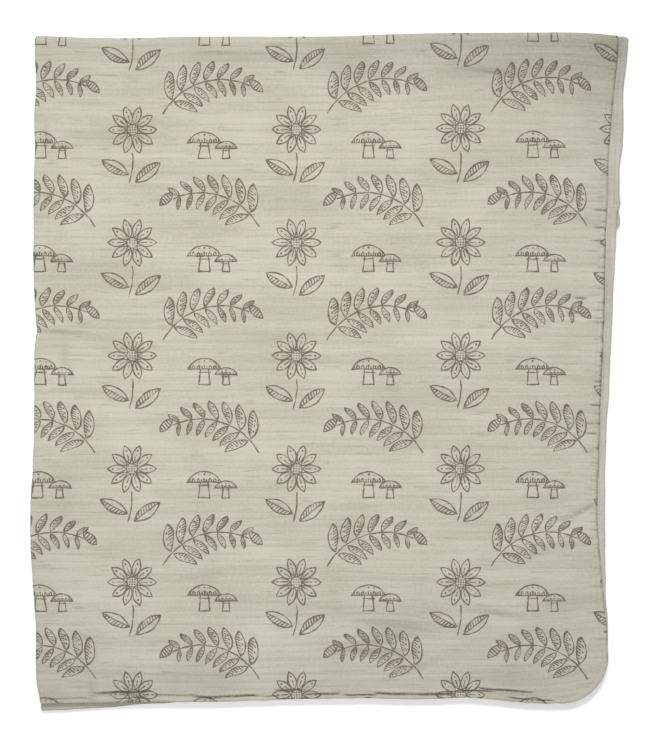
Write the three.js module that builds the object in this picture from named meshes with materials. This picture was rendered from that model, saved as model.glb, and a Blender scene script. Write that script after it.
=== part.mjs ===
// A muslin blanket of two plies, folded in half and in half again, lying flat.
// The first fold is the left edge and the second the top edge, so four leaves lie on each other.
// The printed front panel is outermost at every fold. The plain back panel lies inside it, and
// shows where the second leaf reaches past the upper one at the side hem.
// Units are millimetres, with +X towards the side hem, +Y towards the top fold and +Z up.
import * as THREE from "three";

const { clamp, degToRad } = THREE.MathUtils;

// Size of the folded blanket, from the outermost line of each fold to the upper leaf's hems
const FOLDED_WIDTH = 517;
const FOLDED_LENGTH = 600;
const CORNER_RADIUS = 43;

// Cloth, with the two plies a little apart
const PLY_THICKNESS = 1;
const PLY_GAP = 0.3;
const HALF_LEAF = PLY_THICKNESS + PLY_GAP / 2;

// Room left inside each fold, between the faces that meet there
const FIRST_FOLD_ROOM = 1.2;
const SECOND_FOLD_ROOM = 1.6;

// Fold radii: the first is to a leaf's middle, the second to the middle of the folded pair
const FIRST_RADIUS = FIRST_FOLD_ROOM / 2 + HALF_LEAF;
const HALF_PAIR = FIRST_RADIUS + HALF_LEAF;
const SECOND_RADIUS = SECOND_FOLD_ROOM / 2 + HALF_PAIR;
const PACK_HEIGHT = 2 * (SECOND_RADIUS + HALF_PAIR);

// Flat cloth in each leaf, from the end of a fold's arc to the hem
const LEAF_WIDTH = FOLDED_WIDTH - HALF_PAIR;
const LEAF_LENGTH = FOLDED_LENGTH - SECOND_RADIUS - HALF_PAIR;

// Mesh steps across and down a leaf, and round each fold and each corner
const WIDTH_STEPS = 14;
const LENGTH_STEPS = 21;
const FIRST_FOLD_STEPS = 6;
const SECOND_FOLD_STEPS = 8;
const CORNER_STEPS = 5;
const END_CLOSENESS = 0.55; // 0 spaces a leaf's steps evenly, and 1 crowds them at its ends

// How far each leaf's side hem lies outside FOLDED_WIDTH, down from the top fold
const SIDE_HEM = [
  { down: 0, upper: 11.3, second: 21.3, third: 20.4, fourth: 11.3 },
  { down: 8, upper: 10.9, second: 20.2, third: 19.6, fourth: 11 },
  { down: 23, upper: 9.6, second: 18.5, third: 18, fourth: 10.2 },
  { down: 52, upper: 6.8, second: 15.5, third: 14.9, fourth: 8.7 },
  { down: 82, upper: 4.1, second: 15.9, third: 13.5, fourth: 7.8 },
  { down: 112, upper: 1.9, second: 12.5, third: 11.2, fourth: 7.2 },
  { down: 147, upper: 0.9, second: 12.5, third: 11.4, fourth: 6.5 },
  { down: 176, upper: -0.4, second: 9.3, third: 8.4, fourth: 5.5 },
  { down: 235, upper: -1.5, second: 6.7, third: 4, fourth: 2 },
  { down: 325, upper: -4.8, second: 2.4, third: 0, fourth: -1 },
  { down: 380, upper: -6.8, second: -0.5, third: -2.5, fourth: -4 },
  { down: 420, upper: -8, second: -0.6, third: -4, fourth: -6 },
  { down: 448, upper: -7.4, second: -0.6, third: -3.6, fourth: -5.6 },
  { down: 476, upper: -4.9, second: -0.6, third: -3, fourth: -5 },
  { down: 520, upper: -0.9, second: 0, third: -2, fourth: -3 },
  { down: 565, upper: 1.8, second: 0.9, third: 1, fourth: -1 },
  { down: 600, upper: 1.8, second: 0, third: 0, fourth: 0 },
];

// How far each leaf's bottom hem lies outside FOLDED_LENGTH, across from the left fold
const BOTTOM_HEM = [
  { across: 0, upper: 2.9, second: 2.9, third: 10, fourth: 10 },
  { across: 60, upper: 1.8, second: -1, third: 6.7, fourth: 5.5 },
  { across: 110, upper: 1.3, second: -3, third: 3.5, fourth: 2 },
  { across: 165, upper: 1.3, second: -4, third: -1, fourth: -2 },
  { across: 265, upper: -1.1, second: -5, third: -5, fourth: -6 },
  { across: 365, upper: -0.8, second: -4, third: -5, fourth: -6 },
  { across: 405, upper: -1.4, second: -4, third: -4, fourth: -5 },
  { across: 440, upper: 0.9, second: -2, third: -3, fourth: -4 },
  { across: 475, upper: 3, second: -0.5, third: -1.5, fourth: -2.5 },
  { across: 517, upper: 2.8, second: 0, third: -1, fourth: -2 },
];

// How far the fold lines stand outside their straight places
const TOP_FOLD = [
  { across: 0, out: 0.2 },
  { across: 45, out: -1.4 },
  { across: 90, out: -1.7 },
  { across: 132, out: -0.5 },
  { across: 185, out: -0.3 },
  { across: 270, out: -0.2 },
  { across: 320, out: 1.8 },
  { across: 375, out: 3.3 },
  { across: 455, out: 3.7 },
  { across: 500, out: 3.5 },
  { across: 530, out: 0.8 },
];
const LEFT_FOLD = [
  { down: 0, out: -1.5 },
  { down: 18, out: -0.9 },
  { down: 46, out: -2 },
  { down: 68, out: -0.8 },
  { down: 102, out: -0.9 },
  { down: 124, out: -0.1 },
  { down: 182, out: 0.4 },
  { down: 226, out: -0.1 },
  { down: 262, out: -2.3 },
  { down: 291, out: -0.4 },
  { down: 334, out: -0.5 },
  { down: 392, out: 1 },
  { down: 407, out: 2.4 },
  { down: 442, out: 3.4 },
  { down: 464, out: 2.8 },
  { down: 508, out: -0.4 },
  { down: 537, out: -2 },
  { down: 580, out: -2 },
  { down: 600, out: -5.5 },
];
const FOLD_LINE_REACH = 70; // how far in from a fold its unevenness fades
const HEM_LINE_BIAS = 4; // a high power, so that the hems' unevenness stays near them

// Soft swells and hollows of the upper leaves: middle, half length and half width, turn and rise
const SWELLS = [
  { across: 385, down: 42, long: 90, wide: 26, turn: -6, rise: -2.2 },
  { across: 150, down: 95, long: 120, wide: 45, turn: 4, rise: 1.4 },
  { across: 455, down: 150, long: 60, wide: 40, turn: 0, rise: 1.6 },
  { across: 48, down: 275, long: 20, wide: 75, turn: 8, rise: -1.8 },
  { across: 260, down: 255, long: 140, wide: 60, turn: -3, rise: 1.5 },
  { across: 430, down: 330, long: 80, wide: 35, turn: 6, rise: -1.6 },
  { across: 130, down: 400, long: 90, wide: 50, turn: 0, rise: 1.3 },
  { across: 480, down: 432, long: 60, wide: 22, turn: 16, rise: -1.8 },
  { across: 335, down: 470, long: 90, wide: 40, turn: 0, rise: 1.7 },
  { across: 325, down: 545, long: 75, wide: 24, turn: -8, rise: -2.2 },
  { across: 110, down: 570, long: 90, wide: 18, turn: 0, rise: 1.6 },
  { across: 470, down: 565, long: 60, wide: 24, turn: 10, rise: 1.4 },
];

// The folds stand a little fuller than the pack. The hems lie closer and press most of a swell out.
const TOP_FOLD_LOFT = { rise: 2.8, fade: 45 };
const LEFT_FOLD_LOFT = { rise: 2.2, fade: 38 };
const HEM_DROP = { rise: -2.2, fade: 26, pressed: 0.7 };

// Cotton colours
const PRINTED_SIDE = { color: 0xc6c2b0, roughness: 0.92, metalness: 0 };
const PLAIN_SIDE = { color: 0xc6c0b8, roughness: 0.94, metalness: 0 };

// A smooth curve through one column of a table whose rows are placed by another column. It is held
// level past the first and last rows.
function curveThrough(rows, placeColumn, valueColumn) {
  const slope = (from, to) => (to[valueColumn] - from[valueColumn]) / (to[placeColumn] - from[placeColumn]);
  const last = rows.length - 1;
  const tangents = rows.map((row, index) => {
    return slope(rows[Math.max(0, index - 1)], rows[Math.min(last, index + 1)]);
  });
  return (place) => {
    const held = clamp(place, rows[0][placeColumn], rows[last][placeColumn]);
    const next = Math.max(1, rows.findIndex((row) => row[placeColumn] >= held));
    const from = rows[next - 1];
    const to = rows[next];
    const step = to[placeColumn] - from[placeColumn];
    const u = (held - from[placeColumn]) / step;
    const ease = u * u * (3 - 2 * u);
    const fromPull = tangents[next - 1] * step * u * (1 - u) ** 2;
    const toPull = tangents[next] * step * u * u * (1 - u);
    return from[valueColumn] * (1 - ease) + to[valueColumn] * ease + fromPull - toPull;
  };
}

// Curves of each leaf's hems and of the two fold lines
const sideHem = {
  upper: curveThrough(SIDE_HEM, "down", "upper"),
  second: curveThrough(SIDE_HEM, "down", "second"),
  third: curveThrough(SIDE_HEM, "down", "third"),
  fourth: curveThrough(SIDE_HEM, "down", "fourth"),
};
const bottomHem = {
  upper: curveThrough(BOTTOM_HEM, "across", "upper"),
  second: curveThrough(BOTTOM_HEM, "across", "second"),
  third: curveThrough(BOTTOM_HEM, "across", "third"),
  fourth: curveThrough(BOTTOM_HEM, "across", "fourth"),
};
const topFoldOut = curveThrough(TOP_FOLD, "across", "out");
const leftFoldOut = curveThrough(LEFT_FOLD, "down", "out");

// Stations from one hem, round a fold, to the other hem. leaf is -1 below the fold and 1 above it,
// share is the part of the leaf's flat cloth, and turn is the angle round the fold.
function foldStations(shares, arcSteps) {
  const quarter = Math.PI / 2;
  const below = shares.toReversed().map((share) => ({ leaf: -1, share, turn: -quarter }));
  const above = shares.map((share) => ({ leaf: 1, share, turn: quarter }));
  const arc = [];
  for (let step = 1; step < arcSteps; step += 1) {
    const turn = -quarter + (Math.PI * step) / arcSteps;
    arc.push({ leaf: Math.sign(turn) || 1, share: 0, turn });
  }
  return [...below, ...arc, ...above];
}

// Shares from a fold up to an end share, closer together at both ends.
function sharesFromFold(steps, endShare) {
  const shares = [];
  for (let step = 0; step <= steps; step += 1) {
    const even = step / steps;
    const crowd = (Math.sin(2 * Math.PI * even) * END_CLOSENESS) / (2 * Math.PI);
    shares.push(endShare * (even - crowd));
  }
  return shares;
}

// Shares that step round a hem's corner, so that the last rows follow its arc.
function cornerShares() {
  const shares = [];
  for (let step = 1; step <= CORNER_STEPS; step += 1) {
    const angle = (Math.PI / 2) * (step / CORNER_STEPS);
    shares.push(1 - (CORNER_RADIUS * (1 - Math.sin(angle))) / LEAF_LENGTH);
  }
  return shares;
}

// How far a rounded corner takes the side hem in, at a distance up from the bottom hem.
function cornerCut(fromHem) {
  if (fromHem >= CORNER_RADIUS) return 0;
  return CORNER_RADIUS - Math.sqrt(Math.max(0, CORNER_RADIUS ** 2 - (CORNER_RADIUS - fromHem) ** 2));
}

// Which of the four leaves a point lies in.
function leafName(widthLeaf, lengthLeaf) {
  if (lengthLeaf > 0) return widthLeaf > 0 ? "upper" : "second";
  return widthLeaf > 0 ? "fourth" : "third";
}

// Height that a bell-shaped form adds at a point.
function swellRise(swell, across, down) {
  const turn = degToRad(swell.turn);
  const dx = across - swell.across;
  const dy = down - swell.down;
  const along = dx * Math.cos(turn) - dy * Math.sin(turn);
  const aside = dx * Math.sin(turn) + dy * Math.cos(turn);
  return swell.rise * Math.exp(-((along / swell.long) ** 2) - (aside / swell.wide) ** 2);
}

// How near a point is to an edge: 1 at the edge, fading to 0.
function nearness(distance, fade) {
  return Math.exp(-((Math.max(0, distance) / fade) ** 2));
}

// Rise of the upper leaf at a point.
function upperRise(across, down) {
  const swells = SWELLS.reduce((sum, swell) => sum + swellRise(swell, across, down), 0);
  const topLoft = TOP_FOLD_LOFT.rise * nearness(down, TOP_FOLD_LOFT.fade);
  const leftLoft = LEFT_FOLD_LOFT.rise * nearness(across, LEFT_FOLD_LOFT.fade);
  const fromSide = 1 - nearness(FOLDED_WIDTH - across, HEM_DROP.fade);
  const fromBottom = 1 - nearness(FOLDED_LENGTH - down, HEM_DROP.fade);
  const hem = 1 - fromSide * fromBottom;
  return (swells + topLoft + leftLoft) * (1 - HEM_DROP.pressed * hem) + HEM_DROP.rise * hem;
}

// A leaf's share of that rise: none at the fourth leaf, which lies flat, and all at the upper one.
function riseShare(widthTurn, lengthTurn) {
  const widthHalf = (1 + Math.sin(widthTurn)) / 2;
  const lengthHalf = (1 + Math.sin(lengthTurn)) / 2;
  const upperPair = (2 + widthHalf) / 3;
  const lowerPair = (1 - widthHalf) / 3;
  return lengthHalf * upperPair + (1 - lengthHalf) * lowerPair;
}

// The place of a point of the cloth. The width station crosses the first fold, the length station
// crosses the second, and offset is the distance from the leaf's middle towards the printed side.
function foldedPoint(widthStation, lengthStation, offset) {
  const leaf = leafName(widthStation.leaf, lengthStation.leaf);
  const cut = cornerCut((1 - lengthStation.share) * LEAF_LENGTH);
  const hemAcross = sideHem[leaf](lengthStation.share * FOLDED_LENGTH) - cut;
  const hemDown = bottomHem[leaf](widthStation.share * FOLDED_WIDTH);
  const flatAcross = widthStation.share * LEAF_WIDTH + widthStation.share ** HEM_LINE_BIAS * hemAcross;
  const flatDown = lengthStation.share * LEAF_LENGTH + lengthStation.share ** HEM_LINE_BIAS * hemDown;

  // First fold: the sheet doubles over into a pair of leaves
  const firstRadius = FIRST_RADIUS + offset;
  const across = HALF_PAIR + flatAcross - firstRadius * Math.cos(widthStation.turn);
  const pairHeight = firstRadius * Math.sin(widthStation.turn);

  // Second fold: the pair doubles over into the pack
  const secondRadius = SECOND_RADIUS + pairHeight;
  const down = SECOND_RADIUS + HALF_PAIR + flatDown - secondRadius * Math.cos(lengthStation.turn);
  const height = PACK_HEIGHT / 2 + secondRadius * Math.sin(lengthStation.turn);

  // The fold lines wander, and the leaves above the lowest one rise and sink
  const outLeft = leftFoldOut(down) * Math.exp(-across / FOLD_LINE_REACH);
  const outTop = topFoldOut(across) * Math.exp(-down / FOLD_LINE_REACH);
  const lift = riseShare(widthStation.turn, lengthStation.turn) * upperRise(across, down);
  return new THREE.Vector3(across - outLeft, outTop - down, height + lift);
}

// One ply of the folded sheet as a closed shell between two offsets from the leaf's middle.
function foldedPly(innerOffset, outerOffset) {
  const cornerStart = 1 - CORNER_RADIUS / LEAF_LENGTH;
  const columns = foldStations(sharesFromFold(WIDTH_STEPS, 1), FIRST_FOLD_STEPS);
  const downShares = [...sharesFromFold(LENGTH_STEPS, cornerStart), ...cornerShares()];
  const rows = foldStations(downShares, SECOND_FOLD_STEPS);
  const positions = [];
  for (const offset of [outerOffset, innerOffset]) {
    for (const row of rows) {
      for (const column of columns) positions.push(...foldedPoint(column, row, offset));
    }
  }

  const sideSize = rows.length * columns.length;
  const at = (side, row, column) => side * sideSize + row * columns.length + column;
  const indices = [];
  const quad = (a, b, c, d) => indices.push(a, b, c, a, c, d);
  const lastRow = rows.length - 1;
  const lastColumn = columns.length - 1;
  for (let r = 0; r < lastRow; r += 1) {
    for (let c = 0; c < lastColumn; c += 1) {
      quad(at(0, r, c), at(0, r + 1, c), at(0, r + 1, c + 1), at(0, r, c + 1));
      quad(at(1, r, c), at(1, r, c + 1), at(1, r + 1, c + 1), at(1, r + 1, c));
    }
    quad(at(0, r, 0), at(1, r, 0), at(1, r + 1, 0), at(0, r + 1, 0));
    quad(at(0, r, lastColumn), at(0, r + 1, lastColumn), at(1, r + 1, lastColumn), at(1, r, lastColumn));
  }
  for (let c = 0; c < lastColumn; c += 1) {
    quad(at(0, 0, c), at(0, 0, c + 1), at(1, 0, c + 1), at(1, 0, c));
    quad(at(0, lastRow, c), at(1, lastRow, c), at(1, lastRow, c + 1), at(0, lastRow, c + 1));
  }

  const geometry = new THREE.BufferGeometry();
  geometry.setAttribute("position", new THREE.Float32BufferAttribute(positions, 3));
  geometry.setIndex(indices);
  geometry.computeVertexNormals();
  return geometry;
}

// Front panel: the printed ply
const frontPanel = new THREE.Mesh(
  foldedPly(PLY_GAP / 2, HALF_LEAF),
  new THREE.MeshStandardMaterial(PRINTED_SIDE),
);
frontPanel.name = "front_panel";

// Back panel: the plain ply
const backPanel = new THREE.Mesh(
  foldedPly(-HALF_LEAF, -PLY_GAP / 2),
  new THREE.MeshStandardMaterial(PLAIN_SIDE),
);
backPanel.name = "back_panel";

// The part's origin is the middle of its outline, on the surface that it lies on
const blanket = new THREE.Group();
blanket.add(frontPanel, backPanel);
const outline = new THREE.Box3().setFromObject(blanket);
const middle = outline.getCenter(new THREE.Vector3());
blanket.position.set(-middle.x, -middle.y, -outline.min.z);

export default blanket;
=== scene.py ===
"""Looks of a muslin blanket of two plies, folded in quarters and lying flat.

The first fold is the left edge and the second the top edge, so four leaves lie on each other:
upper, second, third and fourth. The printed front panel is outermost at every fold, and the plain
back panel lies inside it. Sizes are in millimetres, and meshes are made in metres.
"""

from __future__ import annotations

import logging
import math
from dataclasses import dataclass, field
from enum import Enum
from typing import Any, Mapping, Sequence

import bpy
import numpy as np
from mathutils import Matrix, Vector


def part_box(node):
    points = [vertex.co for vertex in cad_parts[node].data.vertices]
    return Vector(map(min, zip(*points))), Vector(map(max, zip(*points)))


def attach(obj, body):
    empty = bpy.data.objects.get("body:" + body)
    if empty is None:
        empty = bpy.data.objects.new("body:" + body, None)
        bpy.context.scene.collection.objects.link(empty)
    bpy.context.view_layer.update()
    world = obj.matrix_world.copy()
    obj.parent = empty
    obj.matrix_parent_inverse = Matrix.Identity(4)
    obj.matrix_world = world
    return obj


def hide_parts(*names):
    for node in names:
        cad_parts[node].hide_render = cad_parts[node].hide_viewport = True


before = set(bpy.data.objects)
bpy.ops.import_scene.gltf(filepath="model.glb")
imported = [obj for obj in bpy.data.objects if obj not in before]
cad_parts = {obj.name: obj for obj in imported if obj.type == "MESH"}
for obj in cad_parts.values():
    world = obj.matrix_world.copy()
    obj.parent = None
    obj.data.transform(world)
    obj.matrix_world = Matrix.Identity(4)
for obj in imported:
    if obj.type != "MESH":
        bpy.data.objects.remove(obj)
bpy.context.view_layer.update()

LOG = logging.getLogger("blanket")
MM = 0.001
Flat = tuple[float, float]
Point = tuple[float, float, float]
Colour = tuple[float, float, float, float]
Array = np.ndarray
Pair = tuple[Array, Array]
QUARTER = math.pi / 2
NOISE_LINES, NOISE_KNOTS = 509, 61
SIDE_WAVE, BOTTOM_WAVE = 0.5, 9.5


class Leaf(Enum):
    """A leaf of the folded pack, by its side of the first fold and of the second."""

    UPPER = (1, 1)
    SECOND = (-1, 1)
    THIRD = (-1, -1)
    FOURTH = (1, -1)


class Ply(Enum):
    """A ply of the cloth, by the side of the leaf's middle that it lies on."""

    PRINTED = 1
    PLAIN = -1


def smooth(share: Array) -> Array:
    """Return shares from 0 to 1 eased so that they are level at both ends."""
    return share * share * (3 - 2 * share)


def ramp(value: Array, start: float, length: float) -> Array:
    """Return values eased from 0 at the start to 1 a length after it."""
    return smooth(np.clip((value - start) / length, 0, 1))


def add_object(name: str, data: bpy.types.ID) -> bpy.types.Object:
    """Return a new object that shows the data, linked at the scene's origin."""
    made = bpy.data.objects.new(name, data)
    bpy.context.scene.collection.objects.link(made)
    return made


@dataclass(frozen=True)
class Curve:
    """A smooth curve through rows of a place and a value, held level past its ends."""

    rows: Sequence[Flat]

    def __call__(self, place: Array) -> Array:
        """Read the curve.

        Args:
            place: Places along the curve.

        Returns:
            The values there.
        """
        at = np.array([row[0] for row in self.rows], float)
        value = np.array([row[1] for row in self.rows], float)
        before = np.maximum(np.arange(len(at)) - 1, 0)
        after = np.minimum(np.arange(len(at)) + 1, len(at) - 1)
        tangent = (value[after] - value[before]) / (at[after] - at[before])
        held = np.clip(place, at[0], at[-1])
        to = np.clip(np.searchsorted(at, held), 1, len(at) - 1)
        step = at[to] - at[to - 1]
        u = (held - at[to - 1]) / step
        ease = smooth(u)
        pull = tangent[to - 1] * step * u * (1 - u) ** 2 - tangent[to] * step * u * u * (1 - u)
        return value[to - 1] * (1 - ease) + value[to] * ease + pull


@dataclass(frozen=True)
class Crease:
    """A soft trough or ridge: its middle, half length and half width, turn in degrees and rise."""

    across: float
    down: float
    long: float
    wide: float
    turn: float
    rise: float

    def height(self, across: Array, down: Array) -> Array:
        """Work out what the crease adds.

        Args:
            across: Distances from the first fold.
            down: Distances from the second fold.

        Returns:
            The heights there.
        """
        turn = math.radians(self.turn)
        dx = across - self.across
        dy = down - self.down
        along = dx * math.cos(turn) - dy * math.sin(turn)
        aside = dx * math.sin(turn) + dy * math.cos(turn)
        return self.rise * np.exp(-((along / self.long) ** 2) - (aside / self.wide) ** 2)


def crease_table(*rows: tuple[float, ...]) -> tuple[Crease, ...]:
    """Return the creases of a table's rows."""
    return tuple(Crease(*row) for row in rows)


@dataclass
class Stations:
    """Places on the way from one hem, round a fold, to the other hem.

    leaf is -1 below the fold and 1 above it, share is the part of the leaf's flat cloth, and turn
    is the angle round the fold.
    """

    leaf: Array
    share: Array
    turn: Array

    @classmethod
    def through_fold(cls, below: Array, above: Array, arc_steps: int) -> Stations:
        """Make the stations of one direction of the cloth.

        Args:
            below: Shares from the fold to the hem below it.
            above: Shares from the fold to the hem above it.
            arc_steps: Number of steps round the fold.

        Returns:
            The stations, from the lower hem to the upper one.
        """
        arc = np.linspace(-QUARTER, QUARTER, arc_steps + 1)[1:-1]
        round_fold = np.where(arc < 0, -1, 1)
        leaf = np.concatenate([-np.ones(len(below)), round_fold, np.ones(len(above))])
        share = np.concatenate([below[::-1], np.zeros(len(arc)), above])
        ends = np.full(len(below), -QUARTER), np.full(len(above), QUARTER)
        return cls(leaf, share, np.concatenate([ends[0], arc, ends[1]]))

    @classmethod
    def on_leaf(cls, side: int, share: Array) -> Stations:
        """Return stations on a leaf's flat, at one side of the fold: -1 below it or 1 above."""
        same = np.ones_like(share)
        return cls(side * same, share, side * QUARTER * same)

    def as_column(self) -> Stations:
        """Return the stations standing one above another, for a grid's rows."""
        return self.picked((slice(None), None))

    def picked(self, numbers: Any) -> Stations:
        """Return the stations of an index."""
        return Stations(self.leaf[numbers], self.share[numbers], self.turn[numbers])


@dataclass
class Places:
    """Points of the cloth, by their stations round the first fold and round the second."""

    columns: Stations
    rows: Stations

    @property
    def on_upper(self) -> Array:
        """Say which points are on the upper leaf."""
        return (self.columns.leaf > 0) & (self.rows.leaf > 0)


@dataclass
class RidgeNoise:
    """Seeded noise of long low ridges that start and stop unevenly."""

    length: float
    pitch: float
    seed: int
    values: Array = field(init=False)
    starts: Array = field(init=False)

    def __post_init__(self) -> None:
        """Draw the noise's values."""
        random = np.random.default_rng(self.seed)
        self.values = random.uniform(-1, 1, (NOISE_LINES, NOISE_KNOTS))
        self.starts = random.uniform(0, NOISE_KNOTS, NOISE_LINES)

    def _line(self, line: Array, along: Array) -> Array:
        """Read one line of ridges.

        Args:
            line: Numbers of the lines.
            along: Distances along them.

        Returns:
            Values from -1 to 1.
        """
        line = line.astype(int) % NOISE_LINES
        place = along / self.length + self.starts[line]
        knot = np.floor(place).astype(int)
        ease = smooth(place - knot)
        first, second = (self.values[line, at % NOISE_KNOTS] for at in (knot, knot + 1))
        return first * (1 - ease) + second * ease

    def __call__(self, along: Array, aside: Array) -> Array:
        """Read the noise.

        Args:
            along: Distances in the ridges' direction.
            aside: Distances across the ridges.

        Returns:
            Values from -1 to 1.
        """
        place = aside / self.pitch
        line = np.floor(place)
        ease = smooth(place - line)
        return self._line(line, along) * (1 - ease) + self._line(line + 1, along) * ease


# How far each leaf's side hem lies outside the folded width, down from the top fold
SIDE_HEM = (
    # down, upper, second, third, fourth
    (0, 11.3, 21.3, 20.4, 11.3), (8, 10.9, 20.3, 19.6, 11.0), (23, 9.6, 18.6, 18.0, 10.2),
    (52, 6.8, 15.7, 14.9, 8.7), (72, 5.0, 16.2, 14.1, 8.1), (87, 3.7, 16.1, 13.3, 7.7),
    (101, 2.6, 14.8, 12.2, 7.4), (112, 1.9, 12.9, 11.2, 7.2), (133, 1.3, 12.4, 10.2, 6.8),
    (142, 1.1, 12.0, 9.6, 6.6), (148, 0.8, 13.0, 9.3, 6.4), (153, 0.6, 12.8, 9.2, 6.3),
    (158, 0.4, 10.3, 11.4, 6.2), (163, 0.1, 9.9, 12.9, 6.0), (171, -0.3, 9.7, 12.8, 5.8),
    (175, -0.4, 9.5, 9.4, 5.6), (190, -0.8, 9.0, 7.4, 4.7), (235, -1.5, 6.7, 4.0, 2.0),
    (325, -4.8, 2.4, 0.0, -1.0), (380, -6.8, -0.5, -2.5, -4.0), (420, -8.0, -0.6, -4.0, -6.0),
    (448, -7.4, -0.6, -3.6, -5.6), (476, -4.9, -0.5, -3.0, -5.0), (512, -1.7, -0.1, -2.3, -3.3),
    (523, -0.7, 1.3, -1.9, -2.9), (545, 0.8, 1.5, -0.4, -2.0), (556, 1.4, 1.4, 0.9, -1.4),
    (562, 1.8, 1.2, 2.1, -1.1), (568, 1.8, 1.1, 3.1, -1.0), (574, 1.8, 1.0, 3.9, -0.9),
    (581, 1.8, 0.7, 2.9, -0.8), (590, 1.8, 0.3, 0.9, -0.3), (600, 1.8, 0.0, 0.0, 0.0),
)

# How far each leaf's bottom hem lies outside the folded length, across from the left fold
BOTTOM_HEM = (
    # across, upper, second, third, fourth
    (0, 2.9, 2.9, 10.0, 10.0), (34, 2.3, 0.8, 8.8, 7.5), (60, 1.8, -1.0, 7.6, 5.5),
    (73, 1.7, -1.6, 6.2, 4.6), (86, 1.5, -2.2, 4.9, 3.7), (98, 1.3, -2.6, 3.7, 2.8),
    (110, 1.3, -3.0, 3.7, 2.0), (165, 1.3, -4.0, -1.0, -2.0), (212, -0.2, -4.5, -3.1, -4.0),
    (237, -0.9, -4.8, -4.1, -5.0), (265, -1.6, -5.0, -5.0, -6.0), (287, -1.6, -4.8, -5.1, -6.1),
    (306, -2.2, -4.6, -5.1, -6.1), (324, -1.6, -4.4, -5.1, -6.1), (338, -0.9, -4.3, -5.1, -6.1),
    (351, -1.3, -4.1, -5.0, -6.0), (363, -0.8, -4.0, -5.0, -6.0), (376, -1.5, -4.0, -4.8, -5.8),
    (390, -2.4, -4.0, -4.4, -5.4), (402, -2.9, -4.0, -4.1, -5.1), (414, -2.1, -3.6, -3.8, -4.8),
    (426, -1.4, -2.9, -3.4, -4.4), (439, -0.7, -2.0, -3.0, -4.0), (452, 0.9, -1.4, -2.4, -3.4),
    (464, 1.6, -0.9, -2.0, -3.0), (476, 2.6, -0.5, -1.5, -2.5), (517, 2.8, 0.0, -1.0, -2.0),
)
LEAF_COLUMNS = (Leaf.UPPER, Leaf.SECOND, Leaf.THIRD, Leaf.FOURTH)

# How far the fold lines stand outside their straight places
TOP_FOLD = Curve((
    (0, 0.2), (45, -1.4), (90, -1.7), (132, -0.5), (185, -0.3), (270, -0.2), (320, 1.8),
    (375, 3.3), (455, 3.7), (500, 3.5), (530, 0.8),
))
LEFT_FOLD = Curve((
    (0, -1.5), (18, -0.9), (46, -2.0), (68, -0.8), (102, -0.9), (124, -0.1), (182, 0.4),
    (226, -0.1), (250, -1.3), (261, -2.2), (266, -3.2), (271, -1.9), (281, -0.8), (291, -0.4),
    (334, -0.5), (392, 1.0), (407, 2.4), (442, 3.4), (464, 2.8), (508, -0.4), (537, -2.0),
    (580, -2.0), (600, -5.5),
))

# How far the inner leaves' fold stands out past the place that nesting gives it
INNER_TOP_FOLD = Curve((
    (0, 0.0), (500, 0.0), (523, 1.0), (526, 1.1), (528.5, 2.7), (531, 3.1), (538, 3.1),
))

# Soft swells and hollows of the upper leaves, as in the solids
SWELLS = crease_table(
    # across, down, half length, half width, turn, rise
    (385, 42, 90, 26, -6, -2.2), (150, 95, 120, 45, 4, 1.4), (455, 150, 60, 40, 0, 1.6),
    (48, 275, 20, 75, 8, -1.8), (260, 255, 140, 60, -3, 1.5), (430, 330, 80, 35, 6, -1.6),
    (130, 400, 90, 50, 0, 1.3), (480, 432, 60, 22, 16, -1.8), (335, 470, 90, 40, 0, 1.7),
    (325, 545, 75, 24, -8, -2.2), (110, 570, 90, 18, 0, 1.6), (470, 565, 60, 24, 10, 1.4),
)

# Finer creases of the upper leaf
CREASES = crease_table(
    # across, down, half length, half width, turn, rise
    (418, 36, 22, 1.7, -7, -0.85), (418, 32, 25, 3.2, -7, 0.55), (421, 50, 12, 1.6, -2, -0.5),
    (165, 16, 16, 1.5, 0, -0.45), (153, 70, 14, 1.5, 0, -0.45), (82, 37, 18, 1.6, -4, -0.4),
    (20, 267, 20, 2.4, -2, -0.7), (18, 262, 18, 3.0, -2, 0.5), (56, 273, 24, 2.4, -3, -0.35),
    (13, 100, 2.6, 16, 6, -0.45), (30, 296, 3.0, 20, 8, -0.4), (475, 436, 12, 2.0, 5, -0.55),
    (496, 428.5, 15, 2.0, 27, -1.0), (493, 423, 17, 3.6, 25, 0.7), (470, 462, 40, 4.0, 14, -0.4),
    (49, 592, 2.2, 12, 3, -0.8), (45, 590, 3.0, 11, 3, 0.5), (312, 546, 30, 4.0, 8, -0.5),
    (343, 571, 22, 2.4, 20, -0.5), (225, 574, 18, 2.6, -6, 0.5), (348, 19, 12, 1.6, 0, -0.3),
    (402, 13.5, 10, 1.5, 0, -0.3), (502, 375, 10, 2.6, 8, -0.5), (41, 260, 7, 1.8, 0, -0.6),
    (316, 532, 38, 14, -10, -0.2), (300, 528, 22, 5, -14, -0.14), (397, 577, 20, 10, 0, -0.15),
    (338, 534, 14, 1.8, -9, -0.3), (409, 496, 10, 1.4, -3, -0.45), (418, 521, 25, 3.0, -9, -0.6),
    (300, 556, 34, 4.0, -4, -0.6),
)

# How far the gauze's rows stand up from level on the upper leaf, where the cloth was pulled
ROW_BENDS = crease_table(
    # across, down, half length, half width, turn, rise
    (520, 575, 48, 42, 0, 9), (430, 520, 60, 30, 0, -3.2), (300, 520, 55, 35, 0, 3.0),
    (150, 585, 70, 25, 0, -2.2), (20, 265, 40, 30, 0, 2.4), (400, 40, 80, 30, 0, 2.6),
    (490, 430, 40, 24, 0, 5.0), (240, 330, 110, 60, 0, 1.8), (500, 240, 40, 50, 0, -1.6),
)
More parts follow.
